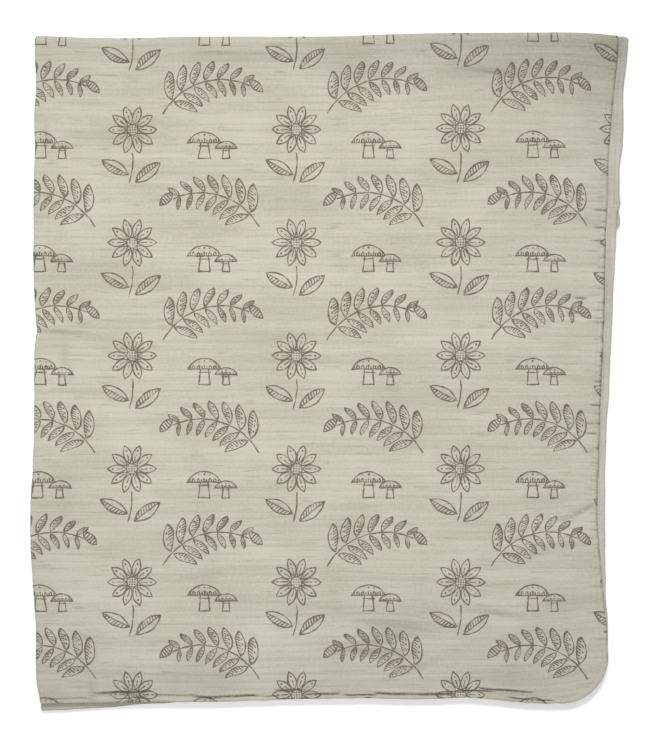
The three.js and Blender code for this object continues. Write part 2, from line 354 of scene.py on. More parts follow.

# How dark the painted shade along the rim of the upper leaf's side hem is, down from the top fold
RIM_SHADE = Curve((
    (0, 0.15), (8, 0.4), (40, 0.45), (90, 0.42), (150, 0.3), (205, 0.45), (240, 0.72),
    (300, 0.75), (330, 0.6), (480, 0.5), (530, 0.35), (600, 0.25),
))
# How dark the painted shade beside the top fold is, across from the left fold
TOP_SHADE = Curve((
    (0, 0.08), (200, 0.13), (290, 0.19), (375, 0.24), (465, 0.25), (510, 0.32), (540, 0.28),
))

# Creases beside the upper leaf's side hem: place down, inward start and end, depth, half width
SIDE_PUCKERS = (
    (24, 0, 14, 0.4, 0.82), (31, 2, 12, 0.3, 0.68), (62, 0, 8, 0.25, 0.68),
    (95, 0, 10, 0.25, 0.68), (126, 0, 9, 0.3, 0.68), (146, 2, 14, 0.3, 0.68),
    (157.8, 0, 16, 0.75, 0.8), (166, 17, 38, 0.4, 0.68), (168, 0, 8, 0.3, 0.68),
    (173.5, 1, 15, 0.85, 0.7), (180, 0, 6, 0.35, 0.61), (185.3, 1, 15, 0.85, 0.7),
    (195, 7, 21, 0.45, 0.68), (200, 0, 7, 0.3, 0.61), (209, 0, 9, 0.35, 0.61),
    (219, 0, 6, 0.3, 0.61), (228, 0, 10, 0.3, 0.61), (237.6, 17, 30, 0.85, 0.9),
    (241, 0, 7, 0.3, 0.61), (248, 0, 15, 0.4, 0.6), (251.2, 15, 38, 0.85, 0.8),
    (254.8, 2, 14, 0.55, 0.6), (259, 0, 13, 0.35, 0.61), (272, 0, 8, 0.3, 0.61),
    (286, 0, 10, 0.35, 0.61), (298, 0, 7, 0.3, 0.61), (312, 0, 8, 0.6, 0.68),
    (324, 0, 7, 0.3, 0.61), (333.5, 0, 12, 0.75, 0.68), (341, 0, 8, 0.3, 0.61),
    (350, 0, 23, 0.45, 1.09), (359, 2, 15, 0.55, 0.68), (372, 0, 8, 0.3, 0.61),
    (386, 0, 12, 0.3, 0.68), (402, 0, 8, 0.25, 0.68), (446, 0, 10, 0.3, 0.68),
    (470, 0, 9, 0.25, 0.68), (497, 0, 16, 0.35, 0.95), (521, 0, 20, 0.35, 1.09),
    (538, 0, 4.5, 0.9, 0.8), (545, 0, 12, 0.3, 0.95),
)

# Creases along the upper leaf's bottom hem: start and end across, distance from the rim, depth,
# half width
BOTTOM_CREASES = (
    (4, 50, 4.2, 0.59, 0.75), (54, 104, 8.9, 1.5, 0.95), (86, 103, 4.3, 1.7, 0.75),
    (104, 150, 6.2, 0.52, 0.75), (142, 174, 4.2, 1.8, 0.75), (172, 206, 4.4, 1.6, 0.75),
    (204, 228, 3.4, 0.78, 0.65), (217, 246, 8.6, 1, 0.8), (247, 276, 4.2, 1.4, 0.7),
    (278, 310, 3.2, 1.3, 0.7), (305, 337, 4.4, 2, 0.8), (333, 356, 4.2, 0.91, 0.75),
    (348, 381, 4.5, 2, 0.8), (378, 416, 6, 1.3, 0.75), (400, 436, 8.2, 1.37, 0.75),
    (420, 452, 8.6, 1.23, 0.65), (426, 451, 2.6, 1.17, 0.56), (450, 471, 2.6, 1.1, 0.56),
)


@dataclass
class FoldedPack:
    """Sizes of the folded cloth, and the place of any point of it."""

    folded_width: float = 517
    folded_length: float = 600
    corner_radius: float = 43
    ply_thickness: float = 1
    ply_gap: float = 0.3
    first_fold_room: float = 1.2
    second_fold_room: float = 1.6
    fold_line_reach: float = 70
    hem_line_bias: int = 4
    top_loft: Flat = (2.8, 45)
    left_loft: Flat = (2.2, 38)
    hem_drop: Point = (-2.2, 26, 0.7)
    hem_wobble: float = 0.5
    fold_corner: float = 5
    wave_height: float = 0.35
    inner_fold_reach: float = 16
    shift: Array = field(init=False)

    def __post_init__(self) -> None:
        """Work out the fold radii and where the frame has the pack."""
        self.half_leaf = self.ply_thickness + self.ply_gap / 2
        self.first_radius = self.first_fold_room / 2 + self.half_leaf
        self.half_pair = self.first_radius + self.half_leaf
        self.second_radius = self.second_fold_room / 2 + self.half_pair
        self.height = 2 * (self.second_radius + self.half_pair)
        self.leaf_width = self.folded_width - self.half_pair
        self.leaf_length = self.folded_length - self.second_radius - self.half_pair
        self.side_hem = self._hem_curves(SIDE_HEM)
        self.bottom_hem = self._hem_curves(BOTTOM_HEM)
        self.broad_waves = RidgeNoise(length=85, pitch=46, seed=11)
        self.hem_waves = RidgeNoise(length=11, pitch=1, seed=12)
        self.shift = np.zeros(3)
        self.shift = self._frame_shift()

    @staticmethod
    def _hem_curves(rows: Sequence[tuple[float, ...]]) -> dict[Leaf, Curve]:
        """Return each leaf's curve from a table of hems."""
        return {
            leaf: Curve(tuple((row[0], row[column + 1]) for row in rows))
            for column, leaf in enumerate(LEAF_COLUMNS)
        }

    def _frame_shift(self) -> Array:
        """Return the shift from the folds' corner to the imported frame, in millimetres."""
        shares = np.linspace(0, 1, 120)
        across = Stations.through_fold(shares, shares, 8)
        down = Stations.through_fold(shares, shares, 8).as_column()
        points = self.place(Places(across, down), np.full((1, 1), self.half_leaf)).reshape(-1, 3)
        low, high = (np.array(corner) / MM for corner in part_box("front_panel"))
        shift = (low + high) / 2 - (points.min(0) + points.max(0)) / 2
        return np.array([shift[0], shift[1], 0.0])

    def _by_leaf(self, curves: Mapping[Leaf, Curve], at: Places, place: Array) -> Array:
        """Read each point's value from the curve of its leaf.

        Args:
            curves: A curve for each leaf.
            at: The points' stations.
            place: Places along the curves.

        Returns:
            The values, one for each point.
        """
        value = {leaf: curve(place) for leaf, curve in curves.items()}
        above = at.columns.leaf > 0
        upper = np.where(above, value[Leaf.UPPER], value[Leaf.SECOND])
        lower = np.where(above, value[Leaf.FOURTH], value[Leaf.THIRD])
        return np.where(at.rows.leaf > 0, upper, lower)

    def _corner_cut(self, from_hem: Array) -> Array:
        """Return how far a rounded corner takes the side hem in."""
        inside = np.clip(self.corner_radius - from_hem, 0, self.corner_radius)
        return self.corner_radius - np.sqrt(self.corner_radius**2 - inside**2)

    def hem_reach(self, at: Places) -> Pair:
        """Work out how far the hems lie outside the leaf's straight edges.

        Args:
            at: The points' stations.

        Returns:
            The side hem's reach and the bottom hem's reach.
        """
        down = self.second_radius + self.half_pair + at.rows.share * self.leaf_length
        side = self._by_leaf(self.side_hem, at, down)
        bottom = self._by_leaf(self.bottom_hem, at, at.columns.share * self.folded_width)
        leaf = at.columns.leaf + 2 * at.rows.leaf
        flat_down = at.rows.share * self.leaf_length
        flat_across = at.columns.share * self.leaf_width
        side = side + self.hem_wobble * self.hem_waves(flat_down, leaf + SIDE_WAVE)
        bottom = bottom + self.hem_wobble * self.hem_waves(flat_across, leaf + BOTTOM_WAVE)
        inner_fold = (at.columns.leaf < 0) * (1 - np.abs(np.sin(at.rows.turn)))
        return side - self.fold_corner * inner_fold, bottom

    def flat_place(self, at: Places) -> Pair:
        """Work out where points lie on the flat of their leaf.

        Args:
            at: The points' stations.

        Returns:
            Distances across and down from the ends of the folds' arcs.
        """
        side, bottom = self.hem_reach(at)
        cut = self._corner_cut((1 - at.rows.share) * self.leaf_length)
        column, row = at.columns.share, at.rows.share
        across = column * self.leaf_width + column**self.hem_line_bias * (side - cut)
        down = row * self.leaf_length + row**self.hem_line_bias * bottom
        return across, down

    def cloth_place(self, at: Places) -> Pair:
        """Work out where points lie on the open cloth.

        Args:
            at: The points' stations.

        Returns:
            Signed distances from the first fold's line and from the second's.
        """
        across, down = self.flat_place(at)
        s = self.first_radius * at.columns.turn + at.columns.leaf * across
        t = self.second_radius * at.rows.turn + at.rows.leaf * down
        return s, t

    def hem_distance(self, at: Places) -> tuple[Array, Array, Array]:
        """Work out how far points lie from the hems.

        Args:
            at: The points' stations.

        Returns:
            Distances from the rounded outline, from the side hem and from the bottom hem.
        """
        across, down = self.flat_place(at)
        side, bottom = self.hem_reach(at)
        from_side = np.maximum(self.leaf_width + side - across, 0)
        from_bottom = np.maximum(self.leaf_length + bottom - down, 0)
        radius = self.corner_radius
        in_x = np.maximum(radius - from_side, 0)
        in_y = np.maximum(radius - from_bottom, 0)
        rounded = radius - np.hypot(in_x, in_y)
        straight = np.minimum(from_side, from_bottom)
        nearest = np.where((in_x > 0) & (in_y > 0), rounded, straight)
        return np.maximum(nearest, 0), from_side, from_bottom

    def upper_rise(self, across: Array, down: Array) -> Array:
        """Work out how far the upper leaf stands above the pressed pack.

        Args:
            across: Distances from the first fold.
            down: Distances from the second fold.

        Returns:
            The rise there.
        """
        swells = sum(crease.height(across, down) for crease in SWELLS)
        waves = self.wave_height * self.broad_waves(across, down)
        top = self.top_loft[0] * nearness(down, self.top_loft[1])
        left = self.left_loft[0] * nearness(across, self.left_loft[1])
        drop, fade, pressed = self.hem_drop
        from_side = 1 - nearness(self.folded_width - across, fade)
        from_bottom = 1 - nearness(self.folded_length - down, fade)
        hem = 1 - from_side * from_bottom
        relaxed = (swells + waves + top + left) * (1 - pressed * hem)
        return relaxed + drop * hem + self.crease_rise(across, down)

    @staticmethod
    def crease_rise(across: Array, down: Array) -> Array:
        """Return what the finer creases add to the upper leaf's height."""
        return sum(crease.height(across, down) for crease in CREASES)

    def pucker_rows(self) -> tuple[float, ...]:
        """Return how far down the upper leaf's flat cloth the side hem's puckers lie."""
        hem = float(self.bottom_hem[Leaf.UPPER](self.folded_width))
        flat = np.array([row[0] for row in SIDE_PUCKERS]) - self.second_radius - self.half_pair
        return tuple(flat - (flat / self.leaf_length) ** self.hem_line_bias * hem)

    def bump_rows(self) -> tuple[float, ...]:
        """Return how far down a lower leaf's flat cloth the bumps of its side hem are stepped."""
        bumps = (*range(126, 200, 4), *range(504, 550, 6))
        return tuple(place - self.second_radius - self.half_pair for place in bumps)

    def pack_place(self, at: Places) -> Pair:
        """Return flat points' distances across from the first fold and down from the second."""
        across, down = self.flat_place(at)
        return across + self.half_pair, down + self.second_radius + self.half_pair

    def place(self, at: Places, offset: Array) -> Array:
        """Work out the places of points of the cloth.

        Args:
            at: The points' stations.
            offset: Distances from the leaf's middle towards the printed side.

        Returns:
            Points in the frame, in millimetres, with X, Y and Z last.
        """
        flat_across, flat_down = self.flat_place(at)
        first = self.first_radius + offset
        across = self.half_pair + flat_across - first * np.cos(at.columns.turn)
        second = self.second_radius + first * np.sin(at.columns.turn)
        down = self.second_radius + self.half_pair + flat_down - second * np.cos(at.rows.turn)
        height = self.height / 2 + second * np.sin(at.rows.turn)
        out_left = LEFT_FOLD(down) * np.exp(-across / self.fold_line_reach)
        out_top = TOP_FOLD(across) * np.exp(-down / self.fold_line_reach)
        upper_half = (1 + np.sin(at.rows.turn)) / 2
        first_half = (1 + np.sin(at.columns.turn)) / 2
        share = upper_half * (2 + first_half) / 3 + (1 - upper_half) * (1 - first_half) / 3
        lift = share * self.upper_rise(across, down)
        inner_top = INNER_TOP_FOLD(across) * np.exp(-((down / self.inner_fold_reach) ** 2))
        out_top = out_top + (1 - first_half) * inner_top
        return np.stack([across - out_left, out_top - down, height + lift], axis=-1) + self.shift


def nearness(distance: Array, fade: float) -> Array:
    """Return 1 at the edge, fading to 0 over a distance from it."""
    return np.exp(-((np.maximum(distance, 0) / fade) ** 2))


def window(place: Array, start: float, end: float, grow: float, fade: float) -> Array:
    """Work out a smooth window over a stretch.

    Args:
        place: Places along the stretch.
        start: Where it starts. One that starts at 0 is full there.
        end: Where it ends.
        grow: Length over which it grows after its start.
        fade: Length over which it fades before its end.

    Returns:
        1 inside the stretch, fading to 0.
    """
    grown = ramp(place, start, grow) if start > 0 else 1.0
    return grown * ramp(-place, -end, fade)


@dataclass
class GauzeRelief:
    """Height of the gauze's crinkles and of its sewn hem, from a ply's smooth face."""

    row_pitch: float = 6.35
    row_height: float = 0.1
    row_wander: float = 0.45
    crinkle_height: float = 0.075
    valley_depth: float = 0.16
    band_heights: Flat = (0.26, 0.34)
    seed: int = 3
    seam_distance: float = 5.5
    seam_depth: float = 0.25
    seam_width: float = 0.7
    hem_puff: float = 0.35
    gather_depth: float = 0.17
    pucker_slant: float = 0.03
    rim_roll: float = 1.5
    sinking: float = 0.2
    thinnest: float = 0.12
    lip_height: float = 0.35
    lip_place: float = 2.4
    lip_width: float = 1.6
    seen_reach: Flat = (24, 10)
    pucker_rise: float = 0.8
    pucker_shade: float = 1.2
    pucker_grow: float = 1.5
    seam_shade: float = 0.1
    crease_fade: float = 5
    crease_wobble: float = 0.5
    gather_fades: Flat = (9, 7)
    valley_shade: float = 0.08
    fold_shade: float = 0.5
    corner_shade: float = 0.11
    broad_shade: float = 0.07
    broad_fade: float = 38

    def __post_init__(self) -> None:
        """Make the noises."""
        self.ridges = RidgeNoise(length=52, pitch=2.7, seed=self.seed)
        self.long_ridges = RidgeNoise(length=120, pitch=4.6, seed=self.seed + 1)
        self.bands = RidgeNoise(length=120, pitch=11, seed=self.seed + 2)
        self.broad_bands = RidgeNoise(length=170, pitch=25, seed=self.seed + 6)
        self.beads = RidgeNoise(length=4.5, pitch=1, seed=self.seed + 7)
        self.patches = RidgeNoise(length=60, pitch=38, seed=self.seed + 3)
        self.wander = RidgeNoise(length=90, pitch=40, seed=self.seed + 4)
        self.gathers = RidgeNoise(length=11, pitch=2.1, seed=self.seed + 5)

    def row_place(self, pack: FoldedPack, at: Places) -> Pair:
        """Work out where points lie among the gauze's rows.

        Args:
            pack: The folded cloth.
            at: The points' stations.

        Returns:
            Distances along the rows and across them.
        """
        s, t = pack.cloth_place(at)
        place = pack.pack_place(at)
        bend = sum(crease.height(*place) for crease in ROW_BENDS)
        return s, t + at.on_upper * bend + self.row_wander * self.wander(s, t)

    def crinkles(self, along: Array, across: Array) -> Pair:
        """Work out the gauze's tacked rows and crinkles.

        Args:
            along: Distances along the rows.
            across: Distances across the rows.

        Returns:
            Heights, and the painted shade in the deeper valleys, from 0 to 1.
        """
        ridges = self.ridges(along, across)
        strength = 0.85 + 0.5 * self.patches(along, across)
        valleys = ramp(ridges, 0.5, 0.45)
        rows = self.row_height * np.cos(2 * np.pi * across / self.row_pitch)
        low = self.crinkle_height * (0.7 * ridges + 0.6 * self.long_ridges(along, across))
        bands = self.band_heights[0] * self.bands(along, across)
        broad = self.band_heights[1] * self.broad_bands(along, across)
        height = strength * (rows + low - self.valley_depth * valleys) + bands + broad
        # Painted shade in the deeper valleys
        return height, self.valley_shade * valleys * strength

    def rim(self, distance: Array) -> Array:
        """Return how full the ply stands near its rolled rim: 0 at the rim, then 1."""
        inward = np.clip(distance / self.rim_roll, 0, 1)
        return np.sqrt(1 - (1 - inward) ** 2)

    def _lip(self, aside: Array) -> Array:
        """Return how far the cloth stands up in the lip beside a crease."""
        return self.lip_height * np.exp(-((aside / self.lip_width) ** 2))

    def hem(self, pack: FoldedPack, at: Places) -> Pair:
        """Work out the relief of the sewn hem.

        Args:
            pack: The folded cloth.
            at: The points' stations.

        Returns:
            Heights above the ply's smooth face, and the painted shade in the creases, puckers and
            seam groove, from 0 to 1.
        """
        nearest, from_side, from_bottom = pack.hem_distance(at)
        across, down = pack.pack_place(at)
        seam = np.exp(-(((nearest - self.seam_distance) / self.seam_width) ** 2))
        puff = self.hem_puff * np.sin(np.pi * np.clip(nearest / self.seam_distance, 0, 1))
        side_near, bottom_near = (
            nearness(distance - self.seam_distance, fade)
            for distance, fade in zip((from_side, from_bottom), self.gather_fades)
        )
        gathers = self.gather_depth * (
            self.gathers(from_side, down) * side_near
            + self.gathers(from_bottom, across) * bottom_near
        )
        puckers = np.zeros_like(nearest)
        creases = np.zeros_like(nearest)
        lips = np.zeros_like(nearest)
        for place, start, end, depth, width in SIDE_PUCKERS:
            aside = (down - place + self.pucker_slant * from_side) / width
            strength = depth * window(from_side, start, end, self.pucker_grow, 0.5 * (end - start))
            puckers += strength * np.exp(-(aside**2))
            lips += strength * self._lip(aside + self.lip_place)
        for start, end, distance, depth, width in BOTTOM_CREASES:
            wobble = self.crease_wobble * self.beads(2 * across / 5, distance)
            aside = (from_bottom - distance - wobble) / width
            strength = depth * window(across, start, end, self.crease_fade, self.crease_fade)
            creases += strength * np.exp(-(aside**2))
            lips += strength * self._lip(aside - self.lip_place)
        pressed = at.on_upper * (lips - creases - self.pucker_rise * puckers)
        # Painted shade in the creases, puckers and seam groove, deeper ones darker
        dark = at.on_upper * np.clip(creases + self.pucker_shade * puckers, 0, 1)
        height = puff + gathers - self.seam_depth * seam + pressed
        return height, dark + self.seam_shade * seam

    def face(self, pack: FoldedPack, ply: Ply, at: Places) -> Pair:
        """Work out a ply's outer face.

        Args:
            pack: The folded cloth.
            ply: The ply.
            at: The points' stations.

        Returns:
            Signed offsets from the leaf's middle, positive towards the printed side, and how dark
            the painted shade is, from 0 to 1: in the creases, along the rims and in broad bands
                beside the folds and hems.
        """
        nearest, from_side, from_bottom = pack.hem_distance(at)
        upper_pair = (1 + np.sin(at.rows.turn)) / 2
        gauze, gauze_shade = self.crinkles(*self.row_place(pack, at))
        sewn, sewn_shade = self.hem(pack, at)
        detail = gauze + sewn
        if ply is Ply.PLAIN:
            reach, fade = self.seen_reach
            seen = nearness(np.minimum(from_side, from_bottom) - reach, fade)
            detail = seen * detail
            upper_pair = upper_pair * (at.columns.leaf < 0)
        inner = pack.ply_gap / 2
        full = pack.half_leaf - inner - self.sinking * upper_pair + detail * upper_pair
        room = pack.half_leaf - inner
        full = np.clip(full, self.thinnest, room if ply is Ply.PLAIN else 3 * room)
        edge = self.thinnest
        offset = ply.value * (inner + edge + (full - edge) * self.rim(nearest))
        across, down = pack.pack_place(at)
        # Painted shade in the finer creases
        folded = np.clip(-pack.crease_rise(across, down) / 0.9, 0, 1)
        shade = gauze_shade + sewn_shade + at.on_upper * self.fold_shade * folded
        # Painted shade along the rims, where the rolled edge and the gap under it lie in shade,
        # uneven along the side hem
        beads = 1 + 0.5 * self.beads(down, at.columns.leaf + 4.5)
        side_rim = RIM_SHADE(down) * beads * nearness(from_side - 0.4, 1.6)
        side_rim += self.corner_shade * nearness(from_side, 24) * nearness(down - 60, 100)
        rim_shade = np.where(at.on_upper, side_rim, 0.35 * nearness(nearest, 0.9))
        # Painted shade where less light falls: darker beside the top fold, towards the bottom hem,
        # on the right near the top fold and beside the lower part of the left fold
        broad = TOP_SHADE(across) * nearness(down, self.broad_fade)
        broad += 0.05 * nearness(from_bottom, self.broad_fade)
        broad += self.broad_shade * ramp(across, 330, 150) * nearness(down - 30, 90)
        broad += self.broad_shade * nearness(across, self.broad_fade) * ramp(down, 330, 120)
        return offset, np.clip(shade + rim_shade + broad, 0, 1)


@dataclass(frozen=True)
class Spacing:
    """Steps of a leaf's mesh from its fold to its hem, with fine steps beside the rim."""

    step: float
    fold_steps: Sequence[float]
    rim_steps: Sequence[float]
    held: Sequence[float] = ()

    def shares(self, reach: float) -> Array:
        """Work out a leaf's steps, with one on each held place.

        Args:
            reach: The leaf's length from its fold to its hem.

        Returns:
            Shares of that length, from 0 to 1.
        """
        start = self.fold_steps[-1]
        end = reach - self.rim_steps[-1]
        count = max(1, round((end - start) / self.step))
        middle = np.linspace(start, end, count + 1)[1:-1]
        rim = reach - np.array(self.rim_steps[::-1])
        steps = np.concatenate([self.fold_steps, middle, rim])
        if self.held:
            held = np.array(self.held)
            far = np.abs(steps[:, None] - held).min(axis=1) > 0.5 * min(self.step, 6)
            steps = np.sort(np.concatenate([steps[far], held]))
        return steps / reach


def corner_points(mesh: bpy.types.Mesh) -> Array:
    """Return the number of the point at each corner of a mesh's faces."""
    corner = np.zeros(len(mesh.loops), np.int32)
    mesh.loops.foreach_get("vertex_index", corner)
    return corner


# Distances from a hem at which the meshes are stepped
ROLL = (0, 0.04, 0.16, 0.36, 0.64, 1.0, 1.5)
SIDE_RIM = (*ROLL, 2.3, 3.4, 4.3, 4.9, 5.4, 5.9, 6.6, 7.8, 9.5, 12, 15, 18, 21, 25, 29, 33, 38, 43)
BOTTOM_RIM = (*ROLL, *(2.0 + 0.5 * number for number in range(20)))
ROUND_RIM = (0, 0.05, 0.2, 0.45, 0.8, 1.25, 1.8, 2.6, 3.6, 4.9, 6.2, 8, 11, 15, 20, 26, 32, 38, 43)
PLAIN_RIM = (0, 0.3, 0.9, 1.8, 3.5, 5.5, 8)

# Parts of the bake map: the leaf that shows, the fourth leaf, then the small ones in two columns
BAKE_REACH = (560, 640)
BAKE_MAIN = (0.004, 0.004), (0.735, 0.84)
BAKE_FOURTH = (0.747, 0.004), (0.249, 0.285)
BAKE_SMALL = (0.747, 0.295), (0.118, 0.135)
BAKE_SMALL_STEP = (0.125, 0.145)


@dataclass
class ClothPly:
    """One ply of the folded cloth as a closed thin shell, finely stepped where it shows."""

    pack: FoldedPack
    relief: GauzeRelief
    ply: Ply
    name: str
    width_above: Spacing
    width_below: Spacing
    length_above: Spacing
    length_below: Spacing
    main_leaf: Leaf
    first_fold_steps: int = 12
    second_fold_steps: int = 16
    hidden_steps: tuple[int, int] = (2, 6)

    def stations(self) -> tuple[Stations, Stations]:
        """Return the mesh's stations round the first fold and round the second."""
        pack = self.pack
        columns = Stations.through_fold(
            self.width_below.shares(pack.leaf_width),
            self.width_above.shares(pack.leaf_width),
            self.first_fold_steps,
        )
        rows = Stations.through_fold(
            self.length_below.shares(pack.leaf_length),
            self.length_above.shares(pack.leaf_length),
            self.second_fold_steps,
        )
        return columns, rows

    @staticmethod
    def _kept(stations: Stations, step: int) -> Array:
        """Return the stations that the hidden face keeps: ends, fold and every few others."""
        last = len(stations.share) - 1
        arc = np.flatnonzero(stations.share == 0)
        below = np.arange(0, arc[0] + 1, 1 if arc[0] < 80 else step)
        above = np.arange(arc[-1], last + 1, step)
        return np.unique(np.concatenate([below, arc[::2], above, [0, last]]))

    def build(self) -> bpy.types.Object:
        """Build the ply's mesh.

        Returns:
            The ply's object, at the origin, with its maps and attributes.
        """
        pack = self.pack
        columns, rows = self.stations()
        at = Places(columns, rows.as_column())
        offset, shade = self.relief.face(pack, self.ply, at)
        outer = pack.place(at, offset)
        inner_columns = self._kept(columns, self.hidden_steps[0])
        inner_rows = self._kept(rows, self.hidden_steps[1])
        hidden = Places(columns.picked(inner_columns), rows.picked(inner_rows).as_column())
        inner = pack.place(hidden, np.full((1, 1), self.ply.value * pack.ply_gap / 2))
        kept = np.ix_(inner_rows, inner_columns)

        def every(values: Array) -> Array:
            """Return the outer face's values and then the inner face's, point by point."""
            flat = (-1, *values.shape[2:])
            return np.concatenate([values.reshape(flat), values[kept].reshape(flat)])

        points = np.concatenate([outer.reshape(-1, 3), inner.reshape(-1, 3)]) * MM
        mesh = bpy.data.meshes.new(self.name)
        mesh.from_pydata(points.tolist(), [], self._faces(shade.shape, inner_rows, inner_columns))
        mesh.polygons.foreach_set("use_smooth", np.ones(len(mesh.polygons), bool))
        places = every(np.stack(pack.cloth_place(at), axis=-1))
        self._map_cloth(mesh, "Cloth", places)
        self._map_cloth(mesh, "Rows", every(np.stack(self.relief.row_place(pack, at), axis=-1)))
        self._map_bake(mesh, places, shade.size)
        nearest, from_side, from_bottom = pack.hem_distance(at)
        # Shade holds the painted shade of creases, rims and folds, which the material mixes into
        # the colour
        attributes = {
            "Crinkled": 0.45 + 0.55 * ramp(nearest, 3, 6),
            "Shade": shade,
            "Beside hem": nearness(from_side, 9),
            "Inked": 1 - (at.rows.leaf < 0) * nearness(from_bottom - 10, 4),
        }
        for name, values in attributes.items():
            layer = mesh.attributes.new(name, "FLOAT", "POINT")
            layer.data.foreach_set("value", every(values).astype(np.float32))
        mesh.update()
        return add_object(self.name, mesh)

    def _faces(
        self, outer_size: tuple[int, int], inner_rows: Array, inner_columns: Array
    ) -> list[list[int]]:
        """Make the shell's faces.

        Args:
            outer_size: Rows and columns of the outer face.
            inner_rows: The outer rows that the inner face keeps.
            inner_columns: The outer columns that the inner face keeps.

        Returns:
            Faces as lists of point numbers, pointing out of the shell.
        """
        row_count, column_count = outer_size
        outer = np.arange(row_count * column_count).reshape(outer_size)
        inner_size = len(inner_rows), len(inner_columns)
        inner = outer.size + np.arange(inner_size[0] * inner_size[1]).reshape(inner_size)
        front = np.stack([outer[:-1, :-1], outer[1:, :-1], outer[1:, 1:], outer[:-1, 1:]], axis=-1)
        back = np.stack([inner[:-1, :-1], inner[:-1, 1:], inner[1:, 1:], inner[1:, :-1]], axis=-1)
        faces = front.reshape(-1, 4).tolist() + back.reshape(-1, 4).tolist()
        edges = (
            (outer[:, 0], inner[:, 0], inner_rows, False),
            (outer[:, -1], inner[:, -1], inner_rows, True),
            (outer[0, :], inner[0, :], inner_columns, True),
            (outer[-1, :], inner[-1, :], inner_columns, False),
        )
        for fine, coarse, kept, turned in edges:
            for number in range(len(kept) - 1):
                run = fine[kept[number] : kept[number + 1] + 1].tolist()
                face = [*run[::-1], int(coarse[number]), int(coarse[number + 1])]
                faces.append(face[::-1] if turned else face)
        if self.ply is Ply.PLAIN:
            faces = [face[::-1] for face in faces]
        return faces

    @staticmethod
    def _map_cloth(mesh: bpy.types.Mesh, name: str, places: Array) -> None:
        """Give a mesh a map of metres across and up the open cloth."""
        corner = corner_points(mesh)
        cloth = mesh.uv_layers.new(name=name)
        cloth.data.foreach_set("uv", (places[corner] * (MM, -MM)).astype(np.float32).ravel())

    def _map_bake(self, mesh: bpy.types.Mesh, places: Array, outer_count: int) -> None:
        """Give a mesh its bake map, with most of the image for the leaf that shows.

        Args:
            mesh: The shell's mesh.
            places: Places on the open cloth, one for each point.
            outer_count: How many of the points are on the outer face.
        """
        corner = corner_points(mesh)
        sizes = np.zeros(len(mesh.polygons), np.int32)
        mesh.polygons.foreach_get("loop_total", sizes)
        starts = np.concatenate([[0], np.cumsum(sizes)[:-1]])
        middle = np.add.reduceat(places[corner], starts) / sizes[:, None]
        on_outer = np.maximum.reduceat((corner < outer_count).astype(np.int32), starts)
        face = np.repeat(np.arange(len(sizes)), sizes)
        across_sign = np.where(middle[:, 0] > 0, 1, -1)[face]
        down_sign = np.where(middle[:, 1] > 0, 1, -1)[face]
        outer = on_outer[face] > 0
        place = np.abs(places[corner]) / BAKE_REACH
        bake = np.zeros_like(place)
        small = 0
        for leaf in Leaf:
            for is_outer in (True, False):
                here = (across_sign == leaf.value[0]) & (down_sign == leaf.value[1])
                here &= outer == is_outer
                if leaf is self.main_leaf and is_outer:
                    low, size = BAKE_MAIN
                elif leaf is Leaf.FOURTH and is_outer:
                    low, size = BAKE_FOURTH
                else:
                    low, size = BAKE_SMALL
                    low = np.array(low) + np.array(BAKE_SMALL_STEP) * (small % 2, small // 2)
                    small += 1
                bake[here] = np.array(low) + place[here] * size
        layer = mesh.uv_layers.new(name="OFBake")
        layer.data.foreach_set("uv", bake.astype(np.float32).ravel())


@dataclass(frozen=True, eq=False)
class Wire:
    """A socket's value in a shader, on which Python's operators add maths nodes."""

    shader: Shader
    socket: bpy.types.NodeSocket

    @property
    def is_vector(self) -> bool:
        """Say whether the socket holds a vector."""
        return self.socket.type == "VECTOR"

    @property
    def x(self) -> Wire:
        """Return how far the place lies across."""
        return self.shader.along(self, (1, 0))

    @property
    def y(self) -> Wire:
        """Return how far the place lies up."""
        return self.shader.along(self, (0, 1))

    def __add__(self, other: Value) -> Wire:
        """Return this plus other."""
        return self.shader.maths("ADD", self, other)

    def __radd__(self, other: Value) -> Wire:
        """Return other plus this."""
        return self.shader.maths("ADD", other, self)

    def __sub__(self, other: Value) -> Wire:
        """Return this minus other."""
        return self.shader.maths("SUBTRACT", self, other)

    def __rsub__(self, other: Value) -> Wire:
        """Return other minus this."""
        return self.shader.maths("SUBTRACT", other, self)

    def __mul__(self, other: Value) -> Wire:
        """Return this times other."""
        return self.shader.maths("MULTIPLY", self, other)

    def __rmul__(self, other: Value) -> Wire:
        """Return other times this."""
        return self.shader.maths("MULTIPLY", other, self)

    def __truediv__(self, other: Value) -> Wire:
        """Return this over other."""
        return self.shader.maths("DIVIDE", self, other)

    def __rtruediv__(self, other: Value) -> Wire:
        """Return other over this."""
        return self.shader.maths("DIVIDE", other, self)

    def __or__(self, other: Value) -> Wire:
        """Return the lesser of this and other: the distance from the nearer of two forms."""
        return self.shader.maths("MINIMUM", self, other)

    def __and__(self, other: Value) -> Wire:
        """Return the greater of this and other: the distance from what two forms share."""
        return self.shader.maths("MAXIMUM", self, other)

    def __abs__(self) -> Wire:
        """Return this without its sign."""
        return self.shader.maths("ABSOLUTE", self)

    def __neg__(self) -> Wire:
        """Return this with its sign turned."""
        return self.shader.maths("MULTIPLY", self, -1.0)


Value = Wire | float | tuple[float, ...]


